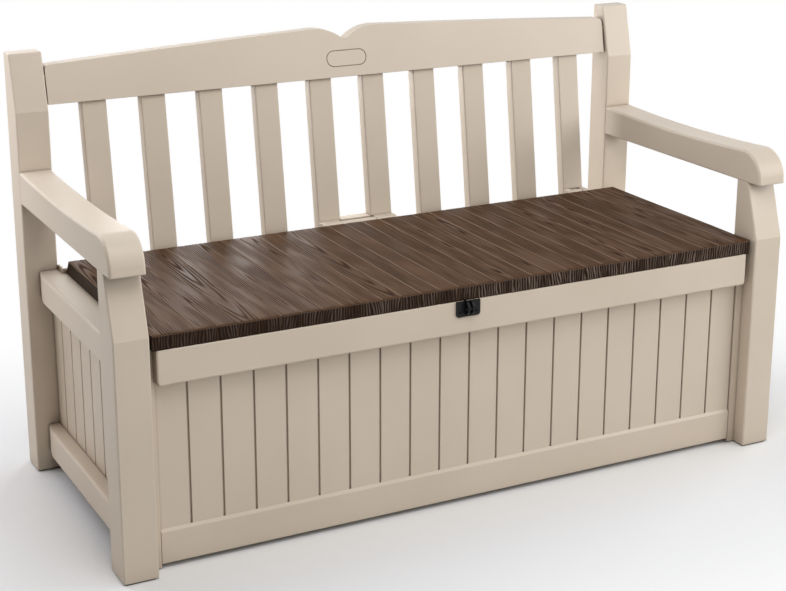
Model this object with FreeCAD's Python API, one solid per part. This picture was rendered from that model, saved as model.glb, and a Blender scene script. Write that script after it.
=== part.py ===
import FreeCAD, Part
import math
import os

V = FreeCAD.Vector

# Outdoor storage bench. Millimetres, front towards -Y, up +Z.

# Overall sizes
bench_width = 1400.0
bench_depth = 600.0
bench_height = 840.0
seat_height = 445.0

# Shared walls and fits
wall = 4.0
rib = 3.0
joint_gap = 0.3
tenon_gap = 0.3
tenon_length = 10.0
tenon_margin = 9.0

# Posts and feet
post_width = 64.0
front_post_depth = 69.0
rear_post_depth = 62.0
front_lean = 0.31
rear_fold_drop = 109.0
rear_lean = 0.245
post_bevel = 2.0
crown_chamfer = 1.5
foot_height = 3.0
foot_inset = 2.5
foot_corner = 4.0
foot_plug_height = 14.0
foot_plug_wall = 3.0
flange_width = 16.0
flange_depth = 28.0
flange_setback = 31.0
flange_gap = 0.7

# Arms
arm_rise = 111.5
arm_rear_rise = 61.0
arm_dip_rise = 55.0
arm_dip_setback = 270.0
arm_crest_rise = 62.5
arm_crest_setback = 60.0
arm_shoulder_rise = 46.5
arm_shoulder_setback = 17.0
arm_nose_rise = 16.5
arm_nose_setback = 1.5
arm_bevel = 3.4
arm_wall = 4.0
arm_rib_count = 3
arm_tenon_inset = 15.0
spigot_height = 26.0
spigot_inset = 12.0
spigot_chamfer = 3.0

# Lid
lid_thickness = 28.0
lid_side_gap = 7.0
lid_front_setback = 8.0
lid_rear_gap = 14.6
lid_seal_gap = 1.5
lid_heel = 3.0
lid_skin = 4.5
lid_rim = 4.0
lid_chamfer = 1.4
lid_rib = 3.5
lid_rib_rise = 6.0
lid_rib_bays = 4
plank_pitch = 39.3
plank_groove_width = 2.4
plank_groove_depth = 1.4

# Front and back panels
board_pitch = 62.3
board_groove_width = 4.4
board_groove_floor = 2.2
board_groove_depth = 3.4
panel_thickness = 12.0
panel_skin = 6.0
panel_setback = 35.0
panel_bottom = 10.5
panel_end_gap = 1.0
panel_bay_margin = 30.0
tongue_thickness = 6.0
tongue_length = 10.0
tongue_drop = 30.0
bottom_beam_top = 76.0
bottom_beam_proud = 3.5
bottom_beam_slope = 6.0
front_rail_height = 64.4
front_rail_top_thickness = 12.7
front_rail_lip = 26.0
front_rail_lip_thickness = 6.0
front_rail_overhang = 2.0
front_rail_end_round = 9.0
front_rail_edge_bevel = 2.5
floor_top = 40.0
floor_thickness = 4.0
floor_rib_height = 16.0
floor_side_gap = 0.5
ledge_width = 10.0
ledge_height = 8.0

# Sides
side_rail_inset = 21.0
side_rail_height = 54.0
side_rail_width = 63.0
side_rail_round = 6.0
low_rail_bottom = 42.0
low_rail_height = 56.0
panel_seat_depth = 34.0
side_panel_inset = 50.0
side_panel_thickness = 10.0
side_board_pitch = 60.0
rail_taper = 7.0
rail_taper_length = 40.0
rail_end_block = 14.0

# Backrest
slat_count = 10
slat_end_margin = 94.6
slat_width = 50.0
slat_thickness = 22.5
slat_wall = 3.5
slat_bevel = 1.8
slat_setback = 83.2
slat_lean = 0.135
slat_solid_end = 40.0
slat_rib_count = 3
slat_socket = 15.0
gusset_size = 7.0
top_rail_height = 100.0
top_rail_end_drop = 26.0
top_rail_end_round = 10.0
top_rail_setback = 51.5
top_rail_lean = 0.2
top_rail_foot = 35.5
top_rail_head = 24.5
top_rail_side_gap = 3.3
top_rail_wall = 5.0
top_rail_end_wall = 8.0
top_rail_bow = 1.2
head_tenon_setback = 12.0
head_tenon_thickness = 15.0
hump_offset = 68.0
notch_depth = 27.0
scoop_offset = 30.0
scoop_depth = 7.5
plaque_length = 91.0
plaque_height = 34.0
plaque_rise = 37.5
plaque_line = 1.6
low_back_setback = 95.0
low_back_top_drop = 19.0
low_back_deck_drop = 41.0
low_back_foot_drop = 69.0
low_back_rear_drop = 35.0

# Hinges
hinge_overhang = 2.0
hinge_drop = 10.0
hinge_barrel_r = 10.6
hinge_pin_r = 4.0
pin_gap = 0.3
pin_seat_gap = 0.15
knuckle_gap = 1.4
block_side_gap = 2.0
block_rear_gap = 11.0
block_nose = 5.0
cheek_width = 12.0
centre_cheek_width = 45.0
hinge_side_gap = 0.4
leaf_length = 74.0
leaf_thickness = 8.4
leaf_pad = 5.0
leaf_pocket_gap = 2.0
leaf_screw_inset = 14.0
leaf_screw_spacing = 34.0
leaf_screw_spread = 25.0

# Padlock fittings
lock_x = -20.0
lock_plate_width = 50.0
lock_plate_height = 30.0
lock_plate_thickness = 3.0
lock_plate_round = 6.0
lock_screw_spacing = 34.0
lock_screw_drop = 20.0
lug_thickness = 4.5
lug_spacing = 10.0
lug_reach = 15.0
lug_round = 10.0
lug_height = 25.0
lug_hole_r = 3.5
lug_hole_setback = 6.0
lug_hole_drop = 14.0
lug_gap = 0.4
neck_height = 4.7
neck_gap = 1.2
pad_width = 28.0
pad_depth = 16.0
pad_setback = 4.0
pad_thickness = 3.0
pad_gap = 1.0
pad_screw_spacing = 18.0

# Screws
screw_r = 1.75
screw_head_r = 3.6
screw_head_height = 2.2
screw_bite = 6.0
screw_tip = 1.5
screw_hole_gap = 0.25
back_screw_drop = 14.0

# Levels and faces that several pieces share
half_w = bench_width / 2
front_y = -bench_depth / 2
rear_y = bench_depth / 2
post_in = half_w - post_width
fp_back = front_y + front_post_depth
rp_front = rear_y - rear_post_depth
lid_bottom = seat_height - lid_thickness
lid_under = seat_height - lid_skin
rail_top = lid_bottom - joint_gap
lid_half = post_in - lid_side_gap
lid_front = front_y + lid_front_setback
low_back_front = rear_y - low_back_setback
hinge_y = low_back_front - hinge_overhang
hinge_z = seat_height - hinge_drop
lid_back = hinge_y - lid_rear_gap
lid_depth = lid_back - lid_front
lid_heel_y = low_back_front - lid_seal_gap
lug_front = lid_front - lug_reach
frame_shift = (front_y - min(front_y, lug_front)) / 2
flange_in = post_in - flange_width
side_face = half_w - side_rail_inset
panel_face = front_y + panel_setback
panel_inner = panel_face + panel_thickness
panel_half = flange_in - panel_end_gap
back_wall = -panel_inner - joint_gap
low_back_top = seat_height - low_back_top_drop
low_back_deck = seat_height - low_back_deck_drop
low_back_bottom = seat_height - low_back_foot_drop
low_back_rear_top = seat_height - low_back_rear_drop
slat_front_at_seat = rear_y - slat_setback
top_rail_bottom = bench_height - top_rail_height
top_rail_end_height = bench_height - top_rail_end_drop
top_rail_front = rear_y - top_rail_setback
rear_fold_height = bench_height - rear_fold_drop
arm_underside = seat_height + arm_rise
tongue_y0 = panel_face + (panel_thickness - tongue_thickness) / 2
tongue_y1 = tongue_y0 + tongue_thickness
front_panel_top = rail_top - front_rail_top_thickness - joint_gap
back_panel_top = low_back_deck
ledge_top = floor_top - floor_thickness - joint_gap
side_panel_out = half_w - side_panel_inset
side_panel_in = side_panel_out - side_panel_thickness
web_out = side_panel_out + tenon_gap
web_in = side_panel_in - tenon_gap
side_rail_bottom = rail_top - side_rail_height
low_rail_top = low_rail_bottom + low_rail_height
panel_seat = low_rail_top - panel_seat_depth
rail_y0 = fp_back + joint_gap
rail_y1 = rp_front - joint_gap
arm_step = front_lean * (arm_underside - seat_height)
spigot_y0 = front_y + arm_step + spigot_inset
spigot_y1 = fp_back - spigot_inset
slat_pitch = 2 * (post_in - slat_end_margin) / (slat_count - 1)
low_slat_end = low_back_deck - 2 * wall
block_top = hinge_z + hinge_barrel_r + joint_gap
leaf_top = lid_under - leaf_pad - joint_gap
leaf_front = lid_back - lid_rim - leaf_length
lug_x = lock_x - lug_spacing / 2
plate_lug_x = lock_x + lug_spacing / 2
plate_face = lid_front - lock_plate_thickness
plate_top = rail_top - joint_gap
lug_hole_y = lug_front + lug_hole_setback
lug_hole_z = plate_top - lug_hole_drop
lock_screw_z = rail_top - lock_screw_drop
lock_screw_xs = (lock_x - lock_screw_spacing / 2, lock_x + lock_screw_spacing / 2)
pad_y = lid_front + pad_setback
pad_screw_xs = (lug_x - pad_screw_spacing / 2, lug_x + pad_screw_spacing / 2)
back_screw_z = low_back_deck - back_screw_drop

# Tenons that run along Y: x0, x1, z0, z1
tenon_x0 = web_out + 1
tenon_x1 = side_face - rail_taper - 2
top_tenon = (tenon_x0, tenon_x1, side_rail_bottom + tenon_margin, rail_top - tenon_margin)
low_tenon = (tenon_x0, tenon_x1, low_rail_bottom + tenon_margin, low_rail_top - tenon_margin)
arm_tenon = (
    post_in + arm_tenon_inset,
    half_w - arm_tenon_inset,
    arm_underside + arm_tenon_inset,
    arm_underside + arm_dip_rise - tenon_margin,
)
# Tenons that run along X: y0, y1, z0, z1
low_back_tenon = (
    rp_front + wall + 1,
    back_wall - wall - 1,
    low_back_bottom + tenon_margin,
    low_back_deck - wall - 2,
)
head_tenon = (
    top_rail_front + head_tenon_setback,
    top_rail_front + head_tenon_setback + head_tenon_thickness,
    top_rail_bottom + slat_socket + wall,
    top_rail_end_height - 2 * tenon_margin,
)


def slat_face(z):
    return slat_front_at_seat + slat_lean * (z - seat_height)


def slat_centre(index):
    return (index - (slat_count + 1) / 2.0) * slat_pitch


middle_slat = slat_count // 2
block_reach = slat_width / 2
hinge_names = ("left", "centre", "right")
hinge_blocks = (
    (slat_centre(1) - block_reach, slat_centre(1) + block_reach),
    (slat_centre(middle_slat) - block_reach, slat_centre(middle_slat + 1) + block_reach),
    (slat_centre(slat_count) - block_reach, slat_centre(slat_count) + block_reach),
)
hinge_cheeks = (cheek_width, centre_cheek_width, cheek_width)
leaf_screw_xs = (
    (slat_centre(1),),
    (-leaf_screw_spread, leaf_screw_spread),
    (slat_centre(slat_count),),
)
leaf_screw_ys = (leaf_front + leaf_screw_inset, leaf_front + leaf_screw_inset + leaf_screw_spacing)
back_screw_xs = []
for step in (0, 2, 4):
    reach = abs(step * slat_pitch - board_pitch / 2)
    back_screw_xs += [-reach, reach]


def box(x0, x1, y0, y1, z0, z1):
    low = V(min(x0, x1), min(y0, y1), min(z0, z1))
    return Part.makeBox(abs(x1 - x0), abs(y1 - y0), abs(z1 - z0), low)


def rounded_wire(points, place):
    # Closed outline through (a, b) corners; a third number rounds a corner, below zero it cuts it straight
    count = len(points)
    starts = []
    ends = []
    mids = []
    for i in range(count):
        here = V(points[i][0], points[i][1], 0)
        size = points[i][2] if len(points[i]) > 2 else 0.0
        radius = abs(size)
        if radius == 0:
            starts.append(here)
            ends.append(here)
            mids.append(None)
            continue
        before = points[i - 1]
        after = points[(i + 1) % count]
        u = (V(before[0], before[1], 0) - here).normalize()
        w = (V(after[0], after[1], 0) - here).normalize()
        half = u.getAngle(w) / 2
        run = radius / math.tan(half)
        inward = (u + w).normalize()
        centre = here + inward * (radius / math.sin(half))
        starts.append(here + u * run)
        ends.append(here + w * run)
        mids.append(centre - inward * radius if size > 0 else None)
    edges = []
    for i in range(count):
        if mids[i] is not None:
            arc = Part.Arc(place(starts[i]), place(mids[i]), place(ends[i]))
            edges.append(arc.toShape())
        elif starts[i] != ends[i]:
            edges.append(Part.makeLine(place(starts[i]), place(ends[i])))
        nxt = (i + 1) % count
        if (starts[nxt] - ends[i]).Length > 1e-6:
            edges.append(Part.makeLine(place(ends[i]), place(starts[nxt])))
    return Part.Wire(edges)


def prism_x(points, x0, x1):
    # Outline in (y, z), drawn out along X
    wire = rounded_wire(points, lambda p: V(x0, p.x, p.y))
    return Part.Face(wire).extrude(V(x1 - x0, 0, 0))


def prism_y(points, y0, y1):
    # Outline in (x, z), drawn out along Y
    wire = rounded_wire(points, lambda p: V(p.x, y0, p.y))
    return Part.Face(wire).extrude(V(0, y1 - y0, 0))


def prism_z(points, z0, z1):
    # Outline in (x, y), drawn out along Z
    wire = rounded_wire(points, lambda p: V(p.x, p.y, z0))
    return Part.Face(wire).extrude(V(0, 0, z1 - z0))


def rod(start, direction, radius, length):
    return Part.makeCylinder(radius, length, start, direction)


def eight_sided(start, direction, radius, length):
    # Round bar or hole of eight flats, for what repeats many times
    side = V(0, 0, 1) if abs(direction.z) < 0.5 else V(1, 0, 0)
    up = direction.cross(side)
    corners = []
    for k in range(8):
        turn = math.radians(45 * k)
        corners.append(start + side * (radius * math.cos(turn)) + up * (radius * math.sin(turn)))
    return Part.Face(Part.makePolygon(corners + corners[:1])).extrude(direction * length)


def screw_hole(start, direction, gap, length):
    return eight_sided(start, direction, screw_r + gap, length)


def joined(base, pieces):
    return base.multiFuse(pieces).removeSplitter()


def without(base, pieces):
    return base.cut(Part.makeCompound(pieces))


def write(name, shape):
    solid = shape.Solids[0] if len(shape.Solids) == 1 else shape
    placed = solid.copy()
    placed.translate(V(0, frame_shift, 0))
    placed.exportStep("parts/" + name + ".step")


def write_pair(name, right_shape):
    write(name + "_right", right_shape)
    write(name + "_left", right_shape.mirror(V(0, 0, 0), V(1, 0, 0)))


def upright_edges(shape, least):
    return [e for e in shape.Edges if abs(e.Vertexes[0].Z - e.Vertexes[-1].Z) > least]


def mortise_y(tenon, y0, y1):
    x0, x1, z0, z1 = tenon
    return box(x0 - tenon_gap, x1 + tenon_gap, y0, y1, z0 - tenon_gap, z1 + tenon_gap)


def mortise_x(tenon, x0, x1):
    y0, y1, z0, z1 = tenon
    return box(x0, x1, y0 - tenon_gap, y1 + tenon_gap, z0 - tenon_gap, z1 + tenon_gap)


def folded_post(y0, y1, top, fold, lean, exposed):
    # Hollow post whose front face leans back above the fold, open at the foot
    step = lean * (top - fold)
    outline = [(y0, foot_height), (y1, foot_height), (y1, top), (y0 + step, top), (y0, fold)]
    outer = prism_x(outline, post_in, half_w)
    outer = outer.makeChamfer(post_bevel, upright_edges(outer, 60))
    if exposed:
        crown = [e for e in outer.Edges if e.BoundBox.ZMin > top - 0.1]
        outer = outer.makeChamfer(crown_chamfer, crown)
    roof = top - wall
    inner_step = lean * (roof - fold)
    inside = [(y0 + wall, foot_height - 1), (y1 - wall, foot_height - 1), (y1 - wall, roof)]
    inside += [(y0 + wall + inner_step, roof), (y0 + wall, fold)]
    return outer.cut(prism_x(inside, post_in + wall, half_w - wall))


def panel_groove(y0, y1, top):
    reach = flange_in + tongue_length + 2 * tenon_gap
    return box(flange_in - 1, reach, y0 - tenon_gap, y1 + tenon_gap, 0, top)


def front_post():
    body = folded_post(front_y, fp_back, arm_underside, seat_height, front_lean, False)
    y0 = front_y + flange_setback
    flange = box(flange_in, post_in + wall / 2, y0, y0 + flange_depth, foot_height, rail_top - 2)
    crown = arm_underside + spigot_height
    x0 = post_in + spigot_inset
    x1 = half_w - spigot_inset
    spigot = box(x0, x1, spigot_y0, spigot_y1, arm_underside - wall / 2, crown)
    spigot = spigot.makeChamfer(spigot_chamfer, [e for e in spigot.Edges if e.BoundBox.ZMin > crown - 0.1])
    body = joined(body, [flange, spigot])
    cuts = [panel_groove(tongue_y0, tongue_y1, rail_top)]
    for tenon in (top_tenon, low_tenon):
        cuts.append(mortise_y(tenon, fp_back - wall - 1, fp_back + 1))
    return without(body, cuts)


def rear_post():
    body = folded_post(rp_front, rear_y, bench_height, rear_fold_height, rear_lean, True)
    y1 = rear_y - flange_setback
    top = low_back_bottom - joint_gap
    flange = box(flange_in, post_in + wall / 2, y1 - flange_depth, y1, foot_height, top)
    body = joined(body, [flange])
    cuts = [panel_groove(-tongue_y1, -tongue_y0, low_back_bottom)]
    for tenon in (top_tenon, low_tenon, arm_tenon):
        cuts.append(mortise_y(tenon, rp_front - 1, rp_front + wall + 1))
    for tenon in (low_back_tenon, head_tenon):
        cuts.append(mortise_x(tenon, post_in - 1, post_in + wall + 1))
    return without(body, cuts)


def foot_cap(y0, y1):
    # Sole with a hollow plug that stands inside the post
    x0 = post_in + foot_inset
    x1 = half_w - foot_inset
    sole = box(x0, x1, y0 + foot_inset, y1 - foot_inset, 0, foot_height)
    sole = sole.makeChamfer(foot_corner, upright_edges(sole, foot_height / 2))
    e = wall + joint_gap
    top = foot_height + foot_plug_height
    plug = box(post_in + e, half_w - e, y0 + e, y1 - e, foot_height - 1, top)
    e += foot_plug_wall
    hollow = box(post_in + e, half_w - e, y0 + e, y1 - e, foot_height, top + 1)
    return joined(sole, [plug]).cut(hollow)


def arm_side(inset):
    # Side outline of the arm, moved inwards for the hollow
    base = arm_underside
    rear = rail_y1 - inset
    slant = 0.7 * inset
    heel_top = V(post_in + inset, rear, base + arm_rear_rise - inset)
    dip = V(post_in + inset, front_y + arm_dip_setback, base + arm_dip_rise - inset)
    crest = V(post_in + inset, front_y + arm_crest_setback, base + arm_crest_rise - inset)
    shoulder_z = base + arm_shoulder_rise - slant
    shoulder = V(post_in + inset, front_y + arm_shoulder_setback + slant, shoulder_z)
    nose = V(post_in + inset, front_y + arm_nose_setback + inset, base + arm_nose_rise)
    toe = V(post_in + inset, front_y + inset, base)
    heel = V(post_in + inset, rear, base)
    edges = [Part.Arc(heel_top, dip, crest).toShape()]
    edges.append(Part.Arc(crest, shoulder, nose).toShape())
    edges.append(Part.makeLine(nose, toe))
    edges.append(Part.makeLine(toe, heel))
    edges.append(Part.makeLine(heel, heel_top))
    return Part.Face(Part.Wire(edges)).extrude(V(post_width - 2 * inset, 0, 0))


def armrest():
    outer = arm_side(0)
    rims = [e for e in outer.Edges if e.BoundBox.XLength < 0.01 and e.BoundBox.ZMax > arm_underside + 1]
    rims = [e for e in rims if e.BoundBox.YLength > 1]
    outer = outer.makeChamfer(arm_bevel, rims)
    shell = outer.cut(arm_side(arm_wall))
    x0 = post_in + arm_wall / 2
    x1 = half_w - arm_wall / 2
    roof = arm_underside + arm_dip_rise - arm_wall / 2
    adds = []
    for y in (spigot_y0 - joint_gap - rib, spigot_y1 + joint_gap):
        adds.append(box(x0, x1, y, y + rib, arm_underside + 1, roof))
    bay = (rail_y1 - fp_back) / (arm_rib_count + 1)
    for k in range(1, arm_rib_count + 1):
        y = fp_back + bay * k
        adds.append(box(x0, x1, y, y + rib, arm_underside + 2 * rib, roof))
    t = arm_tenon
    adds.append(box(t[0], t[1], rail_y1 - arm_wall, rp_front + wall + tenon_length, t[2], t[3]))
    return joined(shell, adds)


def rail_ends(rail, tenon, z0, z1, inner_x):
    # End blocks, tenons and the wedge off the outer face at the rear end
    adds = []
    for ya, yb in ((rail_y0, rail_y0 + rail_end_block), (rail_y1 - rail_taper_length, rail_y1)):
        adds.append(box(web_out + 1, side_face - wall / 2, ya, yb, z0, z1 - wall / 2))
        if inner_x < web_in - 2 * wall:
            adds.append(box(inner_x + wall / 2, web_in - 1, ya, yb, z0, z1 - wall / 2))
    x0, x1, za, zb = tenon
    adds.append(box(x0, x1, rail_y1 - rib, rp_front + wall + tenon_length, za, zb))
    adds.append(box(x0, x1, fp_back - wall - tenon_length, rail_y0 + rib, za, zb))
    wedge = [(side_face, rail_y1 - rail_taper_length), (side_face - rail_taper, rail_y1)]
    wedge += [(side_face - rail_taper, rail_y1 + 1), (side_face + 1, rail_y1 + 1)]
    wedge += [(side_face + 1, rail_y1 - rail_taper_length)]
    return joined(rail, adds).cut(prism_z(wedge, z0 - 1, z1 + 1))


def side_top_rail():
    z0 = side_rail_bottom
    z1 = rail_top
    x0 = side_face - side_rail_width
    roof = z1 - wall
    outline = [(side_face, z0, -2), (side_face, z1, side_rail_round), (x0, z1, -2), (x0, z0)]
    outline += [(x0 + wall, z0), (x0 + wall, roof), (web_in - wall, roof), (web_in - wall, z0)]
    outline += [(web_in, z0), (web_in, roof), (web_out, roof), (web_out, z0), (web_out + wall, z0)]
    outline += [(web_out + wall, roof), (side_face - wall, roof), (side_face - wall, z0)]
    rail = rail_ends(prism_y(outline, rail_y0, rail_y1), top_tenon, z0, z1, x0)
    # Clearance for the end of the lower back rail
    return rail.cut(box(x0 - 1, post_in, low_back_front - joint_gap, rail_y1 + 1, z0 - 1, z1 + 1))


def side_bottom_rail():
    z0 = low_rail_bottom
    z1 = low_rail_top
    x0 = web_in - wall
    floor = panel_seat - wall
    outline = [(side_face, z0, -2), (side_face, z1, side_rail_round), (web_out, z1), (web_out, panel_seat)]
    outline += [(web_in, panel_seat), (web_in, z1), (x0, z1), (x0, z0), (web_in, z0), (web_in, floor)]
    outline += [(web_out, floor), (web_out, z0), (web_out + wall, z0), (web_out + wall, z1 - wall)]
    outline += [(side_face - wall, z1 - wall), (side_face - wall, z0)]
    return rail_ends(prism_y(outline, rail_y0, rail_y1), low_tenon, z0, z1, x0)


def vee(at, face, inward, width, depth):
    # Triangle of a V groove across a face, inward is the sign of its depth
    wide = width / 2 * (depth + 0.5) / depth
    return [(at - wide, face - inward * 0.5), (at + wide, face - inward * 0.5), (at, face + inward * depth)]


def groove(at, face, inward, width, floor, depth):
    # Section of a flat-bottomed groove across a face, inward is the sign of its depth
    wide = floor / 2 + (width - floor) / 2 * (depth + 0.5) / depth
    top = face - inward * 0.5
    foot = face + inward * depth
    return [(at - wide, top), (at + wide, top), (at + floor / 2, foot), (at - floor / 2, foot)]


def board_groove(at, face, inward):
    return groove(at, face, inward, board_groove_width, board_groove_floor, board_groove_depth)


def groove_places(half_length, pitch):
    count = int((half_length - 0.4 * pitch) / pitch)
    return [k * pitch for k in range(-count, count + 1)]


def bays(length, pitch):
    # Equal bays between ribs, as (start, end) from the middle
    count = max(1, int(round(length / pitch)))
    step = length / count
    starts = [k * step - length / 2 for k in range(count)]
    return [(a + rib / 2, a + step - rib / 2) for a in starts]


def side_panel():
    z0 = panel_seat + joint_gap
    z1 = rail_top - wall - joint_gap
    panel = box(side_panel_in, side_panel_out, rail_y0, rail_y1, z0, z1)
    middle = (rail_y0 + rail_y1) / 2
    half = (rail_y1 - rail_y0) / 2
    cuts = []
    for place in groove_places(half, side_board_pitch):
        outline = board_groove(middle + place, side_panel_out, -1)
        cuts.append(prism_z([(p[1], p[0]) for p in outline], z0 - 1, z1 + 1))
    za = low_rail_top + wall
    zb = side_rail_bottom - wall
    for a, b in bays(2 * half - 2 * rail_end_block, side_board_pitch):
        cuts.append(box(side_panel_in - 1, side_panel_out - panel_skin, middle + a, middle + b, za, zb))
    return without(panel, cuts)


def wall_panel(face, sign, top, beam):
    # Grooved wall of the box, sign is +1 when its inner side looks along +Y
    inner = face + sign * panel_thickness
    proud = face - sign * (bottom_beam_proud if beam else 0)
    shelf = inner + sign * ledge_width
    outline = [(proud, panel_bottom), (inner, panel_bottom), (inner, ledge_top - ledge_height)]
    outline += [(shelf, ledge_top - ledge_height), (shelf, ledge_top), (inner, ledge_top)]
    outline += [(inner, top), (face, top)]
    if beam:
        outline += [(face, bottom_beam_top), (proud, bottom_beam_top - bottom_beam_slope)]
    panel = prism_x(outline, -panel_half, panel_half)
    reach = flange_in + tongue_length
    y0 = sign * tongue_y0
    y1 = sign * tongue_y1
    tongues = []
    for s in (-1, 1):
        tongues.append(box(s * (panel_half - 1), s * reach, y0, y1, panel_bottom, top - tongue_drop))
    panel = joined(panel, tongues)
    low = bottom_beam_top if beam else panel_bottom - 1
    cuts = []
    for place in groove_places(panel_half, board_pitch):
        outline = board_groove(place, face, sign)
        cuts.append(prism_z(outline, low, top + 1))
    za = max(floor_top, bottom_beam_top) + wall
    zb = low_back_bottom - panel_bay_margin
    for a, b in bays(2 * panel_half - 4 * wall, 2 * board_pitch):
        cuts.append(box(a, b, face + sign * panel_skin, inner + sign, za, zb))
    if not beam:
        for x in back_screw_xs:
            start = V(x, face + 1, back_screw_z)
            cuts.append(screw_hole(start, V(0, -1, 0), screw_hole_gap, panel_thickness + 2))
    return without(panel, cuts)


def front_top_rail():
    # Channel that caps the front panel, with a proud hollow beam in front
    z1 = rail_top
    z0 = z1 - front_rail_height
    f = lid_front
    cap = z1 - front_rail_top_thickness
    lip = panel_inner + joint_gap
    back = panel_face - joint_gap
    lip_in = lip + front_rail_lip_thickness
    outline = [(f, z0, -3), (back, z0), (back, z0 + wall), (f + wall, z0 + wall), (f + wall, cap)]
    outline += [(lip, cap), (lip, cap - front_rail_lip), (lip_in, cap - front_rail_lip)]
    outline += [(lip_in, z1), (f, z1, -2)]
    adds = []
    for a, b in bays(2 * panel_half, 2 * board_pitch)[1:]:
        adds.append(box(a - rib, a, f + wall / 2, back, z0 + wall / 2, cap + wall / 2))
    end = flange_in + front_rail_overhang
    start = panel_half - 2 * front_rail_end_round
    front_flange = front_y + flange_setback - flange_gap
    for s in (-1, 1):
        corner = [(s * start, z0), (s * end, z0, front_rail_end_round), (s * end, z1, -2), (s * start, z1)]
        end_block = prism_y(corner, f, front_flange)
        face = [e for e in end_block.Edges if e.BoundBox.YMax < f + 0.1]
        short = [e for e in face if e.BoundBox.XLength < 2 * front_rail_end_round - 1]
        outside = [e for e in short if abs(e.CenterOfMass.x) > start + 1]
        adds.append(end_block.makeChamfer(front_rail_edge_bevel, outside))
    rail = joined(prism_x(outline, -panel_half, panel_half), adds)
    # Pocket for the foot of the lid's padlock ear, with a slot for its neck
    sink = pad_thickness + screw_head_height + pad_gap
    half_pad = pad_width / 2 + pad_gap
    half_neck = lug_thickness / 2 + neck_gap
    ya = pad_y - pad_gap
    yb = pad_y + pad_depth + pad_gap
    pocket = box(lug_x - half_pad, lug_x + half_pad, ya, yb, z1 - sink, z1 + 1)
    slot = box(lug_x - half_neck, lug_x + half_neck, f - 1, pad_y, z1 - neck_height - neck_gap, z1 + 1)
    cuts = [pocket, slot]
    depth = wall + screw_tip + 2
    for x in lock_screw_xs:
        cuts.append(screw_hole(V(x, f - 1, lock_screw_z), V(0, 1, 0), screw_hole_gap / 2, depth))
    return without(rail, cuts)


def slat_body(index, grow, low_extra, high_extra):
    # Leaning bar, grow widens it all round for the sockets
    z0 = low_slat_end - low_extra
    z1 = top_rail_bottom + slat_socket - joint_gap + high_extra
    x = slat_centre(index)
    outline = [(slat_face(z0) - grow, z0), (slat_face(z0) + slat_thickness + grow, z0)]
    outline += [(slat_face(z1) + slat_thickness + grow, z1), (slat_face(z1) - grow, z1)]
    return prism_x(outline, x - slat_width / 2 - grow, x + slat_width / 2 + grow)


def slat(index):
    body = slat_body(index, 0, 0, 0)
    x = slat_centre(index)
    top = top_rail_bottom - joint_gap
    middle = slat_face(top) + slat_thickness / 2
    front_edges = [e for e in upright_edges(body, 100) if e.BoundBox.YMax < middle]
    body = body.makeChamfer(slat_bevel, front_edges)
    a = low_slat_end + slat_solid_end
    b = top - slat_socket
    back = slat_thickness + 1
    hollow = [(slat_face(a) + slat_wall, a), (slat_face(a) + back, a)]
    hollow += [(slat_face(b) + back, b), (slat_face(b) + slat_wall, b)]
    body = body.cut(prism_x(hollow, x - slat_width / 2 + slat_wall, x + slat_width / 2 - slat_wall))
    adds = []
    for k in range(1, slat_rib_count + 1):
        z = a + (b - a) * k / (slat_rib_count + 1)
        y0 = slat_face(z) + slat_wall / 2
        y1 = slat_face(z) + slat_thickness - slat_wall
        adds.append(box(x - slat_width / 2 + 1, x + slat_width / 2 - 1, y0, y1, z - rib / 2, z + rib / 2))
    for s in (-1, 1):
        foot = x + s * (slat_width / 2 - 0.5)
        tip = x + s * (slat_width / 2 + gusset_size)
        corner = [(foot, top - gusset_size), (tip, top), (foot, top)]
        adds.append(prism_y(corner, middle, slat_face(top) + slat_thickness - 1))
    return joined(body, adds)


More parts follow.
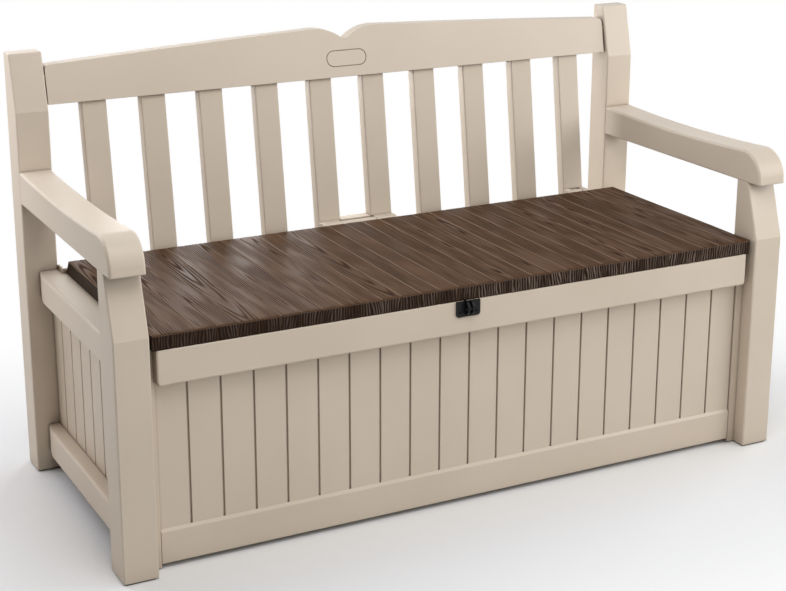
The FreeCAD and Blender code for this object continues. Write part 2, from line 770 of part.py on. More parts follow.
def back_lower_rail():
    # Trough behind the lid: slat sockets in its deck, hinge blocks in front
    f = low_back_front
    z0 = low_back_bottom
    deck = low_back_deck
    under = deck - wall
    reach = post_in - joint_gap
    b = back_wall - wall
    outline = [(f, z0), (f, low_back_top, -2), (f + wall, low_back_top), (f + wall, deck)]
    outline += [(b, deck), (b, low_back_rear_top), (back_wall, low_back_rear_top)]
    outline += [(back_wall, z0), (b, z0), (b, under), (f + wall, under), (f + wall, z0)]
    adds = []
    for i in range(1, slat_count + 1):
        x = slat_centre(i)
        adds.append(box(x - rib / 2, x + rib / 2, f + 1, back_wall - 1, z0, deck - 1))
    cheek = [(f, z0), (f, low_back_top), (rp_front, low_back_top)]
    cheek += [(back_wall, low_back_rear_top), (back_wall, z0)]
    t = low_back_tenon
    for s in (-1, 1):
        x0 = min(s * reach, s * (reach - wall))
        adds.append(prism_x(cheek, x0, x0 + wall))
        adds.append(box(s * (reach - wall), s * (post_in + wall + tenon_length), t[0], t[1], t[2], t[3]))
    nose = hinge_y - hinge_barrel_r - joint_gap
    chin = low_back_top - 2 * wall
    # Hinge blocks end at the slats' front faces, between the middle slats a hollow web goes on to the rear
    block = [(f, under), (f, chin), (nose, hinge_z - 2 * wall), (nose, block_top, -block_nose)]
    block += [(slat_face(block_top), block_top), (slat_face(under), under)]
    for x0, x1 in hinge_blocks:
        adds.append(prism_x(block, x0, x1))
    slot_back = slat_face(hinge_z) + 1
    web_half = (slat_pitch - slat_width) / 2 + 1
    web_back = back_wall - block_rear_gap
    web = [(f + wall, under), (slot_back - wall, block_top), (web_back, block_top, -2), (web_back, under)]
    adds.append(prism_x(web, -web_half, web_half))
    rail = joined(prism_x(outline, -reach, reach), adds)
    cuts = []
    for i in range(1, slat_count + 1):
        cuts.append(slat_body(i, tenon_gap, joint_gap, 0))
    knuckle = hinge_barrel_r + knuckle_gap
    for (x0, x1), side in zip(hinge_blocks, hinge_cheeks):
        cuts.append(box(x0 + side, x1 - side, nose - wall, slot_back, hinge_z - knuckle, block_top + 1))
        cuts.append(rod(V(x0 - 1, hinge_y, hinge_z), V(1, 0, 0), hinge_pin_r + pin_seat_gap, x1 - x0 + 2))
    inside = web_half - 1 - wall
    cuts.append(box(-inside, inside, slot_back + wall, web_back - wall, z0 - 1, block_top - wall))
    for x in back_screw_xs:
        start = V(x, back_wall + 1, back_screw_z)
        cuts.append(screw_hole(start, V(0, -1, 0), screw_hole_gap / 2, wall + screw_tip + 2))
    return without(rail, cuts)


def arc_through(points):
    return Part.Arc(*[V(p[0], 0, p[1]) for p in points]).toShape()


def top_rail_outline(half):
    # Slow rise from each end to a hump, then a scoop into the centre notch
    z0 = top_rail_bottom
    end = top_rail_end_height
    peak = bench_height
    r = top_rail_end_round
    cut = r * (1 - math.sqrt(0.5))
    edges = [Part.makeLine(V(-half, 0, z0), V(half, 0, z0))]
    for s in (1, -1):
        side = (s * half, end - r)
        corner = (s * (half - cut), end - cut)
        shoulder = (s * (half - r), end)
        hump = (s * hump_offset, peak)
        rise = (s * (half + hump_offset) / 2, (end + peak) / 2 + top_rail_bow)
        scoop = (s * scoop_offset, peak - scoop_depth)
        edges.append(Part.makeLine(V(s * half, 0, z0), V(side[0], 0, side[1])))
        edges.append(arc_through((side, corner, shoulder)))
        edges.append(arc_through((shoulder, rise, hump)))
        edges.append(arc_through((hump, scoop, (0, peak - notch_depth))))
    return Part.Wire(Part.__sortEdges__(edges))


def plaque_outline(grow):
    a = plaque_length / 2 + grow
    b = plaque_height / 2 + grow
    r = b - 0.01
    return [(-a, -b, r), (a, -b, r), (a, b, r), (-a, b, r)]


def back_top_rail():
    half = post_in - top_rail_side_gap
    z0 = top_rail_bottom
    f0 = top_rail_front
    peak = bench_height + 1
    slope = (top_rail_foot - top_rail_head) / (peak - z0)
    slab = Part.Face(top_rail_outline(half)).extrude(V(0, 4 * top_rail_foot, 0))
    slab.translate(V(0, f0 - top_rail_foot, 0))

    def front_at(z):
        return f0 + top_rail_lean * (z - z0)

    def rear_at(z):
        return front_at(z) + top_rail_foot - slope * (z - z0)

    section = [(front_at(z0), z0), (rear_at(z0), z0), (rear_at(peak), peak), (front_at(peak), peak)]
    rail = slab.common(prism_x(section, -half - 1, half + 1))
    # Slat channel in the underside, and the hollow above it
    zc = z0 + slat_socket
    zt = top_rail_end_height - 3 * top_rail_wall
    g = tenon_gap
    low = [(slat_face(z0 - 1) - g, z0 - 1), (slat_face(z0 - 1) + slat_thickness + g, z0 - 1)]
    low += [(slat_face(zc) + slat_thickness + g, zc), (slat_face(zc) - g, zc)]
    w = top_rail_wall
    high = [(front_at(zc) + w, zc - 0.5), (rear_at(zc) - w, zc - 0.5)]
    high += [(rear_at(zt) - w, zt), (front_at(zt) + w, zt)]
    inside = half - top_rail_end_wall
    hollow = prism_x(low, -inside, inside).fuse(prism_x(high, -inside, inside))
    fins = []
    for i in range(1, slat_count + 1):
        x = slat_centre(i)
        fins.append(box(x - rib / 2, x + rib / 2, f0 - 10, f0 + 90, zc, peak))
        for s in (-1, 1):
            a = x + s * (slat_width / 2 + g)
            fins.append(box(a, a + s * rib, f0 - 10, f0 + 90, z0 + 1, peak))
    rail = rail.cut(hollow.cut(Part.makeCompound(fins)))
    t = head_tenon
    reach = post_in + wall + tenon_length
    rail = joined(rail, [box(s * (half - wall), s * reach, t[0], t[1], t[2], t[3]) for s in (-1, 1)])
    # Thin line round the bare plaque, cut square to the leaning front face
    ring = prism_y(plaque_outline(0), -w, plaque_line)
    ring = ring.cut(prism_y(plaque_outline(-plaque_line), -w - 1, plaque_line + 1))
    ring.rotate(V(0, 0, 0), V(1, 0, 0), -math.degrees(math.atan(top_rail_lean)))
    ring.translate(V(0, front_at(z0 + plaque_rise), z0 + plaque_rise))
    return rail.cut(ring)


def lid():
    z0 = lid_bottom
    z1 = seat_height
    c = lid_chamfer
    # Its rear edge slopes back under the hinge line, down to a heel that meets the lower back rail
    outline = [(lid_front, z0), (lid_heel_y, z0), (lid_heel_y, z0 + lid_heel), (lid_back, z1 - c)]
    outline += [(lid_back - c, z1), (lid_front + c, z1), (lid_front, z1 - c)]
    slab = prism_x(outline, -lid_half, lid_half)
    inside = lid_half - lid_rim
    front_wall = lid_front + lid_rim
    heel_wall = lid_heel_y - lid_rim
    section = [(front_wall, z0 - 1), (heel_wall, z0 - 1), (heel_wall, z0 + lid_heel)]
    section += [(lid_back - lid_rim, lid_under), (front_wall, lid_under)]
    hollow = prism_x(section, -inside, inside)
    keep = []
    notches = []
    for x0, x1 in hinge_blocks:
        a = x0 - block_side_gap
        b = x1 + block_side_gap
        keep.append(box(a - lid_rim, b + lid_rim, lid_back - lid_rim, lid_heel_y, z0, z1))
        notches.append(box(a, b, lid_back, lid_heel_y + 1, z0 - 1, z1))
    for k in range(1, lid_rib_bays):
        y = lid_front + lid_depth * k / lid_rib_bays
        keep.append(box(-lid_half, lid_half, y - lid_rib / 2, y + lid_rib / 2, z0 + lid_rib_rise, z1))
    for k in range(1, 1 + int(lid_half / (5 * plank_pitch))):
        for s in (-1, 1):
            x = s * (5 * k - 0.5) * plank_pitch
            keep.append(box(x - lid_rib / 2, x + lid_rib / 2, lid_front, lid_heel_y, z0 + lid_rib_rise, z1))
    for (x0, x1), side in zip(hinge_blocks, hinge_cheeks):
        c = side - leaf_pocket_gap
        keep.append(box(x0 + c, x1 - c, leaf_front - leaf_pocket_gap, lid_back, leaf_top + joint_gap, z1))
    half_pad = pad_width / 2 + pad_gap
    keep.append(box(lug_x - half_pad, lug_x + half_pad, lid_front, pad_y + pad_depth + pad_gap, z0, z1))
    body = slab.cut(hollow.cut(Part.makeCompound(keep)))
    cuts = list(notches)
    for x in groove_places(lid_half, plank_pitch):
        outline = vee(x, z1, -1, plank_groove_width, plank_groove_depth)
        cuts.append(prism_y(outline, lid_front - 1, lid_back + 1))
    for k in range(3):
        x0, x1 = hinge_blocks[k]
        c = hinge_cheeks[k] - leaf_pocket_gap
        y0 = leaf_front - leaf_pocket_gap
        cuts.append(box(x0 + c, x1 - c, y0, lid_back + 1, z0 - 1, leaf_top + joint_gap))
        for x in leaf_screw_xs[k]:
            for y in leaf_screw_ys:
                start = V(x, y, leaf_top - 1)
                cuts.append(screw_hole(start, V(0, 0, 1), screw_hole_gap / 2, screw_bite + 2))
    for x in pad_screw_xs:
        start = V(x, pad_y + pad_depth / 2, z0 - 1)
        cuts.append(screw_hole(start, V(0, 0, 1), screw_hole_gap / 2, screw_bite + 2))
    return without(body, cuts)


def hinge_leaf(k):
    x0, x1 = hinge_blocks[k]
    a = x0 + hinge_cheeks[k] + hinge_side_gap
    b = x1 - hinge_cheeks[k] - hinge_side_gap
    z0 = leaf_top - leaf_thickness
    plate = box(a, b, leaf_front, hinge_y, z0, leaf_top)
    leaf = joined(plate, [rod(V(a, hinge_y, hinge_z), V(1, 0, 0), hinge_barrel_r, b - a)])
    cuts = [rod(V(a - 1, hinge_y, hinge_z), V(1, 0, 0), hinge_pin_r + pin_gap, b - a + 2)]
    for x in leaf_screw_xs[k]:
        for y in leaf_screw_ys:
            cuts.append(screw_hole(V(x, y, z0 - 1), V(0, 0, 1), screw_hole_gap, leaf_thickness + 2))
    return without(leaf, cuts)


def hinge_pin(k):
    x0, x1 = hinge_blocks[k]
    return rod(V(x0 + 1, hinge_y, hinge_z), V(1, 0, 0), hinge_pin_r, x1 - x0 - 2)


def screw(bearing, direction, shank):
    # Pan head screw, bearing is the middle of the head's underside
    head = eight_sided(bearing, direction * -1, screw_head_r, screw_head_height)
    shaft = eight_sided(bearing - direction * 0.5, direction, screw_r, shank + 0.5)
    return joined(head, [shaft])


def padlock_ear(x, root):
    # D shaped ear in front of the plate
    z1 = plate_top - joint_gap
    z0 = z1 - lug_height
    outline = [(root, z0), (lug_front, z0, lug_round), (lug_front, z1, lug_round), (root, z1)]
    return prism_x(outline, x - lug_thickness / 2, x + lug_thickness / 2)


def eye_hole(x):
    return rod(V(x - lug_thickness, lug_hole_y, lug_hole_z), V(1, 0, 0), lug_hole_r, 2 * lug_thickness)


def lock_plate():
    half = lock_plate_width / 2
    z1 = plate_top
    z0 = z1 - lock_plate_height
    r = lock_plate_round
    outline = [(lock_x - half, z0, r), (lock_x + half, z0, r)]
    outline += [(lock_x + half, z1, 1), (lock_x - half, z1, 1)]
    plate = prism_y(outline, plate_face, lid_front)
    plate = joined(plate, [padlock_ear(plate_lug_x, lid_front - 1)])
    half_neck = lug_thickness / 2 + neck_gap
    y0 = plate_face - 1
    neck_floor = rail_top - neck_height - neck_gap
    notch = box(lug_x - half_neck, lug_x + half_neck, y0, lid_front + 1, neck_floor, z1 + 1)
    cuts = [notch, eye_hole(plate_lug_x)]
    for x in lock_screw_xs:
        start = V(x, y0, lock_screw_z)
        cuts.append(screw_hole(start, V(0, 1, 0), screw_hole_gap, lock_plate_thickness + 2))
    return without(plate, cuts)


def lid_lock_lug():
    # Ear, neck through the notch, and a foot screwed under the lid
    half = lug_thickness / 2
    root = plate_face - lug_gap
    top = plate_top - joint_gap
    z0 = lid_bottom - pad_thickness
    foot = box(lug_x - pad_width / 2, lug_x + pad_width / 2, pad_y, pad_y + pad_depth, z0, lid_bottom)
    neck = box(lug_x - half, lug_x + half, root - 1, pad_y + 2, rail_top - neck_height, top)
    body = joined(padlock_ear(lug_x, root), [neck, foot])
    cuts = [eye_hole(lug_x)]
    for x in pad_screw_xs:
        start = V(x, pad_y + pad_depth / 2, z0 - 1)
        cuts.append(screw_hole(start, V(0, 0, 1), screw_hole_gap, pad_thickness + 2))
    return without(body, cuts)


def floor_panel():
    # Ribbed plate that stands on the ledges of the front and back panels
    y1 = back_wall
    half = web_in - wall - floor_side_gap
    plate = box(-half, half, -y1, y1, floor_top - floor_thickness, floor_top)
    ribs = []
    reach = y1 - ledge_width - wall
    z0 = floor_top - floor_rib_height
    for k in range(-4, 5):
        x = k * half / 4.5
        ribs.append(box(x - rib / 2, x + rib / 2, -reach, reach, z0, floor_top - 1))
    for k in (-1, 0, 1):
        y = k * reach / 1.5
        ribs.append(box(-half + 5 * wall, half - 5 * wall, y - rib / 2, y + rib / 2, z0, floor_top - 1))
    plate = joined(plate, ribs)
    edge_x = flange_in - flange_gap
    edge_y = rear_y - flange_setback - flange_depth - flange_gap
    corners = []
    for sx in (-1, 1):
        for sy in (-1, 1):
            corners.append(box(sx * edge_x, sx * half * 1.1, sy * edge_y, sy * y1 * 1.1, 0, floor_top + 1))
    return without(plate, corners)


def hinge_screw_group():
    bearing = leaf_top - leaf_thickness
    shank = leaf_thickness + joint_gap + screw_bite
    group = []
    for xs in leaf_screw_xs:
        for x in xs:
            for y in leaf_screw_ys:
                group.append(screw(V(x, y, bearing), V(0, 0, 1), shank))
    return Part.makeCompound(group)


def lock_screw_group():
    shank = lock_plate_thickness + wall + screw_tip
    bearings = [V(x, plate_face, lock_screw_z) for x in lock_screw_xs]
    return Part.makeCompound([screw(p, V(0, 1, 0), shank) for p in bearings])


def pad_screw_group():
    y = pad_y + pad_depth / 2
    z = lid_bottom - pad_thickness
    shank = pad_thickness + screw_bite
    return Part.makeCompound([screw(V(x, y, z), V(0, 0, 1), shank) for x in pad_screw_xs])


def back_screw_group():
    shank = panel_thickness + wall + joint_gap + screw_tip
    bearings = [V(x, -panel_face, back_screw_z) for x in back_screw_xs]
    return Part.makeCompound([screw(p, V(0, -1, 0), shank) for p in bearings])


os.makedirs("parts", exist_ok=True)

write_pair("front_post", front_post())
write_pair("rear_post", rear_post())
write_pair("front_foot", foot_cap(front_y, fp_back))
write_pair("rear_foot", foot_cap(rp_front, rear_y))
write_pair("armrest", armrest())
write_pair("side_top_rail", side_top_rail())
write_pair("side_bottom_rail", side_bottom_rail())
write_pair("side_panel", side_panel())
write("front_panel", wall_panel(panel_face, 1, front_panel_top, True))
write("back_panel", wall_panel(-panel_face, -1, back_panel_top, False))
write("front_top_rail", front_top_rail())
write("back_lower_rail", back_lower_rail())
write("back_top_rail", back_top_rail())
for number in range(1, slat_count + 1):
    write("back_slat_" + str(number), slat(number))
write("floor_panel", floor_panel())
write("lid", lid())
for number in range(3):
    write("hinge_leaf_" + hinge_names[number], hinge_leaf(number))
    write("hinge_pin_" + hinge_names[number], hinge_pin(number))
write("hinge_screws", hinge_screw_group())
write("lock_plate", lock_plate())
write("lock_plate_screws", lock_screw_group())
write("lid_lock_lug", lid_lock_lug())
write("lid_lug_screws", pad_screw_group())
write("back_panel_screws", back_screw_group())
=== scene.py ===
import bpy
import bmesh
import math
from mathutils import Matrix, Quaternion, Vector


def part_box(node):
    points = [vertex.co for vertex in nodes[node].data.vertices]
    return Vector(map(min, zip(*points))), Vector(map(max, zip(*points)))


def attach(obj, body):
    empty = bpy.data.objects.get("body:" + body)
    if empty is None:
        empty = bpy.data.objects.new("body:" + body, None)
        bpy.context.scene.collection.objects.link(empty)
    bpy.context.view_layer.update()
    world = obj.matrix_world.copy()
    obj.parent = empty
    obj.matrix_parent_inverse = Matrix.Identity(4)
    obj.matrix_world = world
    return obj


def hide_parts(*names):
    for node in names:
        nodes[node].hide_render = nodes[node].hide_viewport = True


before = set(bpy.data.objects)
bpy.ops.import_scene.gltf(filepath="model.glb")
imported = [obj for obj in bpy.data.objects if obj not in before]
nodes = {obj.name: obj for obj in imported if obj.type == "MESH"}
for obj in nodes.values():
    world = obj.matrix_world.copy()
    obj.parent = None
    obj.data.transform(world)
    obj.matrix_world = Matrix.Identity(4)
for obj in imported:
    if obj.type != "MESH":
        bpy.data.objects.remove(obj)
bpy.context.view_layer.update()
scene = bpy.context.scene
weld = 0.000005  # metres, points closer than this are one point
squareOn = 0.9  # a face turned to an axis at least this far looks along it
raySamples = 6  # rays for softened edges and for the shade in corners
print("frame loaded:", len(nodes), "solids")


def hexColour(text):  # sRGB hex to linear
    parts = [int(text[i:i + 2], 16) / 255 for i in (1, 3, 5)]
    return [c / 12.92 if c <= 0.04045 else ((c + 0.055) / 1.055) ** 2.4 for c in parts] + [1.0]


def addNode(tree, kind, settings=None, links=None):  # lower case names are settings, the rest are sockets
    node = tree.nodes.new(kind)
    for name, value in (settings or {}).items():
        if isinstance(name, str) and name[0].islower():
            setattr(node, name, value)
        else:
            node.inputs[name].default_value = value
    for name, source in (links or {}).items():
        tree.links.new(source, node.inputs[name])
    return node


def newMaterial(name):
    material = bpy.data.materials.new(name)
    material.use_nodes = True
    material.node_tree.nodes.clear()
    return material, material.node_tree


def setRamp(ramp, stops):
    elements = ramp.color_ramp.elements
    while len(elements) < len(stops):
        elements.new(0.5)
    for element, (place, colour) in zip(elements, stops):
        element.position = place
        element.color = hexColour(colour)


def newPiece(name, mesh):
    piece = bpy.data.objects.new(name, mesh)
    scene.collection.objects.link(piece)
    return piece


def newGeometryTree(name, inputs):
    tree = bpy.data.node_groups.new(name, "GeometryNodeTree")
    tree.interface.new_socket("Geometry", in_out="INPUT", socket_type="NodeSocketGeometry")
    for label, kind in inputs:
        tree.interface.new_socket(label, in_out="INPUT", socket_type="NodeSocket" + kind)
    tree.interface.new_socket("Geometry", in_out="OUTPUT", socket_type="NodeSocketGeometry")
    return tree, addNode(tree, "NodeGroupInput").outputs, addNode(tree, "NodeGroupOutput")


def growMesh(piece, tree, values):  # runs the tree on the piece and gives back a plain mesh
    modifier = piece.modifiers.new(tree.name, "NODES")
    modifier.node_group = tree
    for item in tree.interface.items_tree:
        if item.item_type == "SOCKET" and item.in_out == "INPUT" and item.name in values:
            modifier[item.identifier] = values[item.name]
    graph = bpy.context.evaluated_depsgraph_get()
    grown = piece.evaluated_get(graph)
    mesh = bpy.data.meshes.new_from_object(grown, preserve_all_data_layers=True, depsgraph=graph)
    piece.modifiers.remove(modifier)
    return mesh


beigeLook = {
    "pale": "#D0C1AF",
    "deep": "#CBBCA9",
    "cloud": 0.30,  # metres across one cloud of tone
    "grit": 0.0018,  # real grit is about 0.5 mm, drawn coarser so that it shows
    "gritDepth": 0.00005,
    "bump": 0.5,
    "roughness": (0.40, 0.52),
    "ior": 1.49,
    "edge": 0.0014,
    "armEdge": 0.004,  # arms are rounded more than the rest
    "shade": "#5F4B38",  # painted shade in grooves and corners
    "shadeReach": 0.006,
    "shadeOpen": (0.9, 0.25),  # open sky over a point where the painted shade starts, and where it is full
    "shadeShare": 0.65,
    "nookReach": 0.07,  # the same painted shade, thinner, in the nooks behind posts and under rails
    "nookOpen": (0.62, 0.25),
    "nookShare": 0.45,
}


def makeBeige(name, edge):
    # Polypropylene moulded against a spark-eroded tool: matt, even beige with soft broad highlights
    material, tree = newMaterial(name)
    place = addNode(tree, "ShaderNodeTexCoord")
    cloud = addNode(tree, "ShaderNodeTexNoise", {"Scale": 1 / beigeLook["cloud"], "Detail": 3.0},
                    {"Vector": place.outputs["Object"]})
    tone = addNode(tree, "ShaderNodeValToRGB", None, {"Fac": cloud.outputs["Fac"]})
    setRamp(tone, [(0.35, beigeLook["deep"]), (0.65, beigeLook["pale"])])
    grit = addNode(tree, "ShaderNodeTexNoise", {"Scale": 1 / beigeLook["grit"], "Detail": 2.0},
                   {"Vector": place.outputs["Object"]})
    smoothest, roughest = beigeLook["roughness"]
    gloss = addNode(tree, "ShaderNodeMapRange", {"To Min": smoothest, "To Max": roughest},
                    {"Value": grit.outputs["Fac"]})
    colour = tone.outputs["Color"]
    for layer in ("shade", "nook"):  # painted shade, darker beige where little sky reaches: grooves first, then the wider nooks
        start, full = beigeLook[layer + "Open"]
        sky = addNode(tree, "ShaderNodeAmbientOcclusion",
                      {"samples": raySamples, "Distance": beigeLook[layer + "Reach"]})
        depth = addNode(tree, "ShaderNodeMapRange",
                        {"From Min": start, "From Max": full, "To Max": beigeLook[layer + "Share"]},
                        {"Value": sky.outputs["AO"]})
        paintedShade = addNode(tree, "ShaderNodeMix", {"data_type": "RGBA", 7: hexColour(beigeLook["shade"])},
                          {0: depth.outputs["Result"], 6: colour})
        colour = paintedShade.outputs[2]
    soft = addNode(tree, "ShaderNodeBevel", {"samples": raySamples, "Radius": edge})
    bump = addNode(tree, "ShaderNodeBump",
                   {"Strength": beigeLook["bump"], "Distance": beigeLook["gritDepth"]},
                   {"Height": grit.outputs["Fac"], "Normal": soft.outputs["Normal"]})
    shader = addNode(tree, "ShaderNodeBsdfPrincipled", {"IOR": beigeLook["ior"]},
                     {"Base Color": colour, "Roughness": gloss.outputs["Result"],
                      "Normal": bump.outputs["Normal"]})
    addNode(tree, "ShaderNodeOutputMaterial", None, {"Surface": shader.outputs["BSDF"]})
    return material


brownLook = {
    "poreDark": "#473323",
    "brown": "#523A27",
    "brownPale": "#5E4430",
    "grainDark": "#30211A",
    "seamDark": "#140C07",
    "edgeHighlight": "#917B67",  # painted highlight along a plank's left edge
    # painted highlight on the crests of the front ridges, painted shade in their sunk hollows
    "ridgeCrestHighlight": "#7C6D62",
    "ridgeHollowShade": "#26180F",
    "endDark": "#2B1E15",  # plain end walls of the lid
    "streakAcross": 0.0024,  # metres across one pore streak
    "streakAlong": 0.12,
    "streakDepth": 0.0001,
    "bump": 0.6,
    "plankShare": 0.22,  # how much one plank may be paler than another
    "joint": (0.3, 0.8),  # depth of a seam where its dark paint starts, and where it is full
    "roughness": (0.34, 0.48),
    "dullGrain": 0.45,  # roughness that a grain line adds
    "ior": 1.49,
    "gloss": 0.04,  # specular level
}


def makeBrown():
    # Polypropylene moulded with planks and open wood grain: dark brown, its crests catch a grey sheen
    material, tree = newMaterial("grained_polypropylene_brown")
    place = addNode(tree, "ShaderNodeTexCoord")
    across = 1 / brownLook["streakAcross"]
    stretch = addNode(tree, "ShaderNodeMapping", {"Scale": (across, 1 / brownLook["streakAlong"], across)},
                      {"Vector": place.outputs["Object"]})
    streak = addNode(tree, "ShaderNodeTexNoise", {"Scale": 1.0, "Detail": 3.0, "Roughness": 0.55},
                     {"Vector": stretch.outputs["Vector"]})
    marks = {}
    for label in ("plank", "grain", "seam", "edge", "ridge", "front", "endWall"):
        marks[label] = addNode(tree, "ShaderNodeAttribute", {"attribute_name": label}).outputs["Fac"]
    mixed = addNode(tree, "ShaderNodeMath", {"operation": "MULTIPLY_ADD", 1: brownLook["plankShare"]},
                    {0: marks["plank"], 2: streak.outputs["Fac"]})
    tone = addNode(tree, "ShaderNodeValToRGB", None, {"Fac": mixed.outputs[0]})
    stops = ((0.40, "poreDark"), (0.58, "brown"), (0.85, "brownPale"))
    setRamp(tone, [(at, brownLook[paint]) for at, paint in stops])
    start, full = brownLook["joint"]
    joint = addNode(tree, "ShaderNodeMapRange", {"From Min": start, "From Max": full},
                    {"Value": marks["seam"]}).outputs["Result"]
    # front ridges: painted highlight on the crests, painted shade in the hollows
    ridged = addNode(tree, "ShaderNodeMix",
                     {"data_type": "RGBA", 6: hexColour(brownLook["ridgeCrestHighlight"]),
                      7: hexColour(brownLook["ridgeHollowShade"])}, {0: marks["ridge"]})

    # Grain, seams and painted edge highlights on the top, then the ridged front and the plain ends
    colour = tone.outputs["Color"]
    for share, paint in ((marks["grain"], "grainDark"), (joint, "seamDark"), (marks["edge"], "edgeHighlight")):
        laid = addNode(tree, "ShaderNodeMix", {"data_type": "RGBA", 7: hexColour(brownLook[paint])},
                       {0: share, 6: colour})
        colour = laid.outputs[2]
    fronted = addNode(tree, "ShaderNodeMix", {"data_type": "RGBA"},
                      {0: marks["front"], 6: colour, 7: ridged.outputs[2]})
    walled = addNode(tree, "ShaderNodeMix", {"data_type": "RGBA", 7: hexColour(brownLook["endDark"])},
                     {0: marks["endWall"], 6: fronted.outputs[2]})
    smoothest, roughest = brownLook["roughness"]
    gloss = addNode(tree, "ShaderNodeMapRange", {"To Min": smoothest, "To Max": roughest},
                    {"Value": streak.outputs["Fac"]})
    dullGrain = addNode(tree, "ShaderNodeMath", {"operation": "MULTIPLY_ADD", 1: brownLook["dullGrain"]},
                        {0: marks["grain"], 2: gloss.outputs["Result"]})
    dullSeam = addNode(tree, "ShaderNodeMath", {"operation": "MAXIMUM"},
                       {0: dullGrain.outputs[0], 1: joint})
    bump = addNode(tree, "ShaderNodeBump",
                   {"Strength": brownLook["bump"], "Distance": brownLook["streakDepth"]},
                   {"Height": streak.outputs["Fac"]})
    shader = addNode(tree, "ShaderNodeBsdfPrincipled",
                     {"IOR": brownLook["ior"], "Specular IOR Level": brownLook["gloss"]},
                     {"Base Color": walled.outputs[2], "Roughness": dullSeam.outputs[0],
                      "Normal": bump.outputs["Normal"]})
    addNode(tree, "ShaderNodeOutputMaterial", None, {"Surface": shader.outputs["BSDF"]})
    return material


blackLook = {
    "pale": "#101011",
    "deep": "#0A0A0B",
    "fleck": 0.0016,  # metres across one fleck
    "fleckDepth": 0.00004,
    "bump": 0.5,
    "edge": 0.0008,
    "roughness": (0.30, 0.46),
    "ior": 1.53,
    "gloss": 0.2,  # specular level
}


def makeBlack():
    # Glass-filled nylon, moulded: satin black, small edges catch a thin grey line
    material, tree = newMaterial("moulded_nylon_black")
    place = addNode(tree, "ShaderNodeTexCoord")
    fleck = addNode(tree, "ShaderNodeTexNoise", {"Scale": 1 / blackLook["fleck"], "Detail": 2.0},
                    {"Vector": place.outputs["Object"]})
    tone = addNode(tree, "ShaderNodeValToRGB", None, {"Fac": fleck.outputs["Fac"]})
    setRamp(tone, [(0.3, blackLook["deep"]), (0.7, blackLook["pale"])])
    smoothest, roughest = blackLook["roughness"]
    gloss = addNode(tree, "ShaderNodeMapRange", {"To Min": smoothest, "To Max": roughest},
                    {"Value": fleck.outputs["Fac"]})
    soft = addNode(tree, "ShaderNodeBevel", {"samples": raySamples, "Radius": blackLook["edge"]})
    bump = addNode(tree, "ShaderNodeBump",
                   {"Strength": blackLook["bump"], "Distance": blackLook["fleckDepth"]},
                   {"Height": fleck.outputs["Fac"], "Normal": soft.outputs["Normal"]})
    shader = addNode(tree, "ShaderNodeBsdfPrincipled",
                     {"IOR": blackLook["ior"], "Specular IOR Level": blackLook["gloss"]},
                     {"Base Color": tone.outputs["Color"], "Roughness": gloss.outputs["Result"],
                      "Normal": bump.outputs["Normal"]})
    addNode(tree, "ShaderNodeOutputMaterial", None, {"Surface": shader.outputs["BSDF"]})
    return material


footLook = {
    "pale": "#4B443C",
    "deep": "#38322C",
    "grain": 0.003,  # metres across one grain
    "grainDepth": 0.0001,
    "bump": 0.6,
    "roughness": 0.75,
    "ior": 1.51,
}


def makeFootRubber():
    # Thermoplastic rubber, moulded: dull dark grey-brown with no clear highlight
    material, tree = newMaterial("moulded_rubber_dark")
    place = addNode(tree, "ShaderNodeTexCoord")
    grain = addNode(tree, "ShaderNodeTexNoise", {"Scale": 1 / footLook["grain"], "Detail": 3.0},
                    {"Vector": place.outputs["Object"]})
    tone = addNode(tree, "ShaderNodeValToRGB", None, {"Fac": grain.outputs["Fac"]})
    setRamp(tone, [(0.3, footLook["deep"]), (0.7, footLook["pale"])])
    bump = addNode(tree, "ShaderNodeBump",
                   {"Strength": footLook["bump"], "Distance": footLook["grainDepth"]},
                   {"Height": grain.outputs["Fac"]})
    shader = addNode(tree, "ShaderNodeBsdfPrincipled",
                     {"Roughness": footLook["roughness"], "IOR": footLook["ior"]},
                     {"Base Color": tone.outputs["Color"], "Normal": bump.outputs["Normal"]})
    addNode(tree, "ShaderNodeOutputMaterial", None, {"Surface": shader.outputs["BSDF"]})
    return material


zincLook = {
    "pale": "#C4C6C6",
    "deep": "#A9ABAA",
    "spangle": 0.004,  # metres across one zinc crystal
    "turning": 0.0006,
    "roughness": (0.25, 0.42),
}


def makeZinc():
    # Zinc-plated steel, cold headed: bright grey with faint spangle and fine turning marks
    material, tree = newMaterial("zinc_plated_steel")
    place = addNode(tree, "ShaderNodeTexCoord")
    spangle = addNode(tree, "ShaderNodeTexVoronoi", {"Scale": 1 / zincLook["spangle"]},
                      {"Vector": place.outputs["Object"]})
    tone = addNode(tree, "ShaderNodeValToRGB", None, {"Fac": spangle.outputs["Distance"]})
    setRamp(tone, [(0.1, zincLook["deep"]), (0.7, zincLook["pale"])])
    turned = addNode(tree, "ShaderNodeTexNoise", {"Scale": 1 / zincLook["turning"], "Detail": 1.0},
                     {"Vector": place.outputs["Object"]})
    smoothest, roughest = zincLook["roughness"]
    gloss = addNode(tree, "ShaderNodeMapRange", {"To Min": smoothest, "To Max": roughest},
                    {"Value": turned.outputs["Fac"]})
    shader = addNode(tree, "ShaderNodeBsdfPrincipled", {"Metallic": 1.0},
                     {"Base Color": tone.outputs["Color"], "Roughness": gloss.outputs["Result"]})
    addNode(tree, "ShaderNodeOutputMaterial", None, {"Surface": shader.outputs["BSDF"]})
    return material


blackSteelLook = {
    "pale": "#2A2A2B",
    "deep": "#171718",
    "mottle": 0.0012,  # metres across one patch
    "roughness": (0.38, 0.55),
}


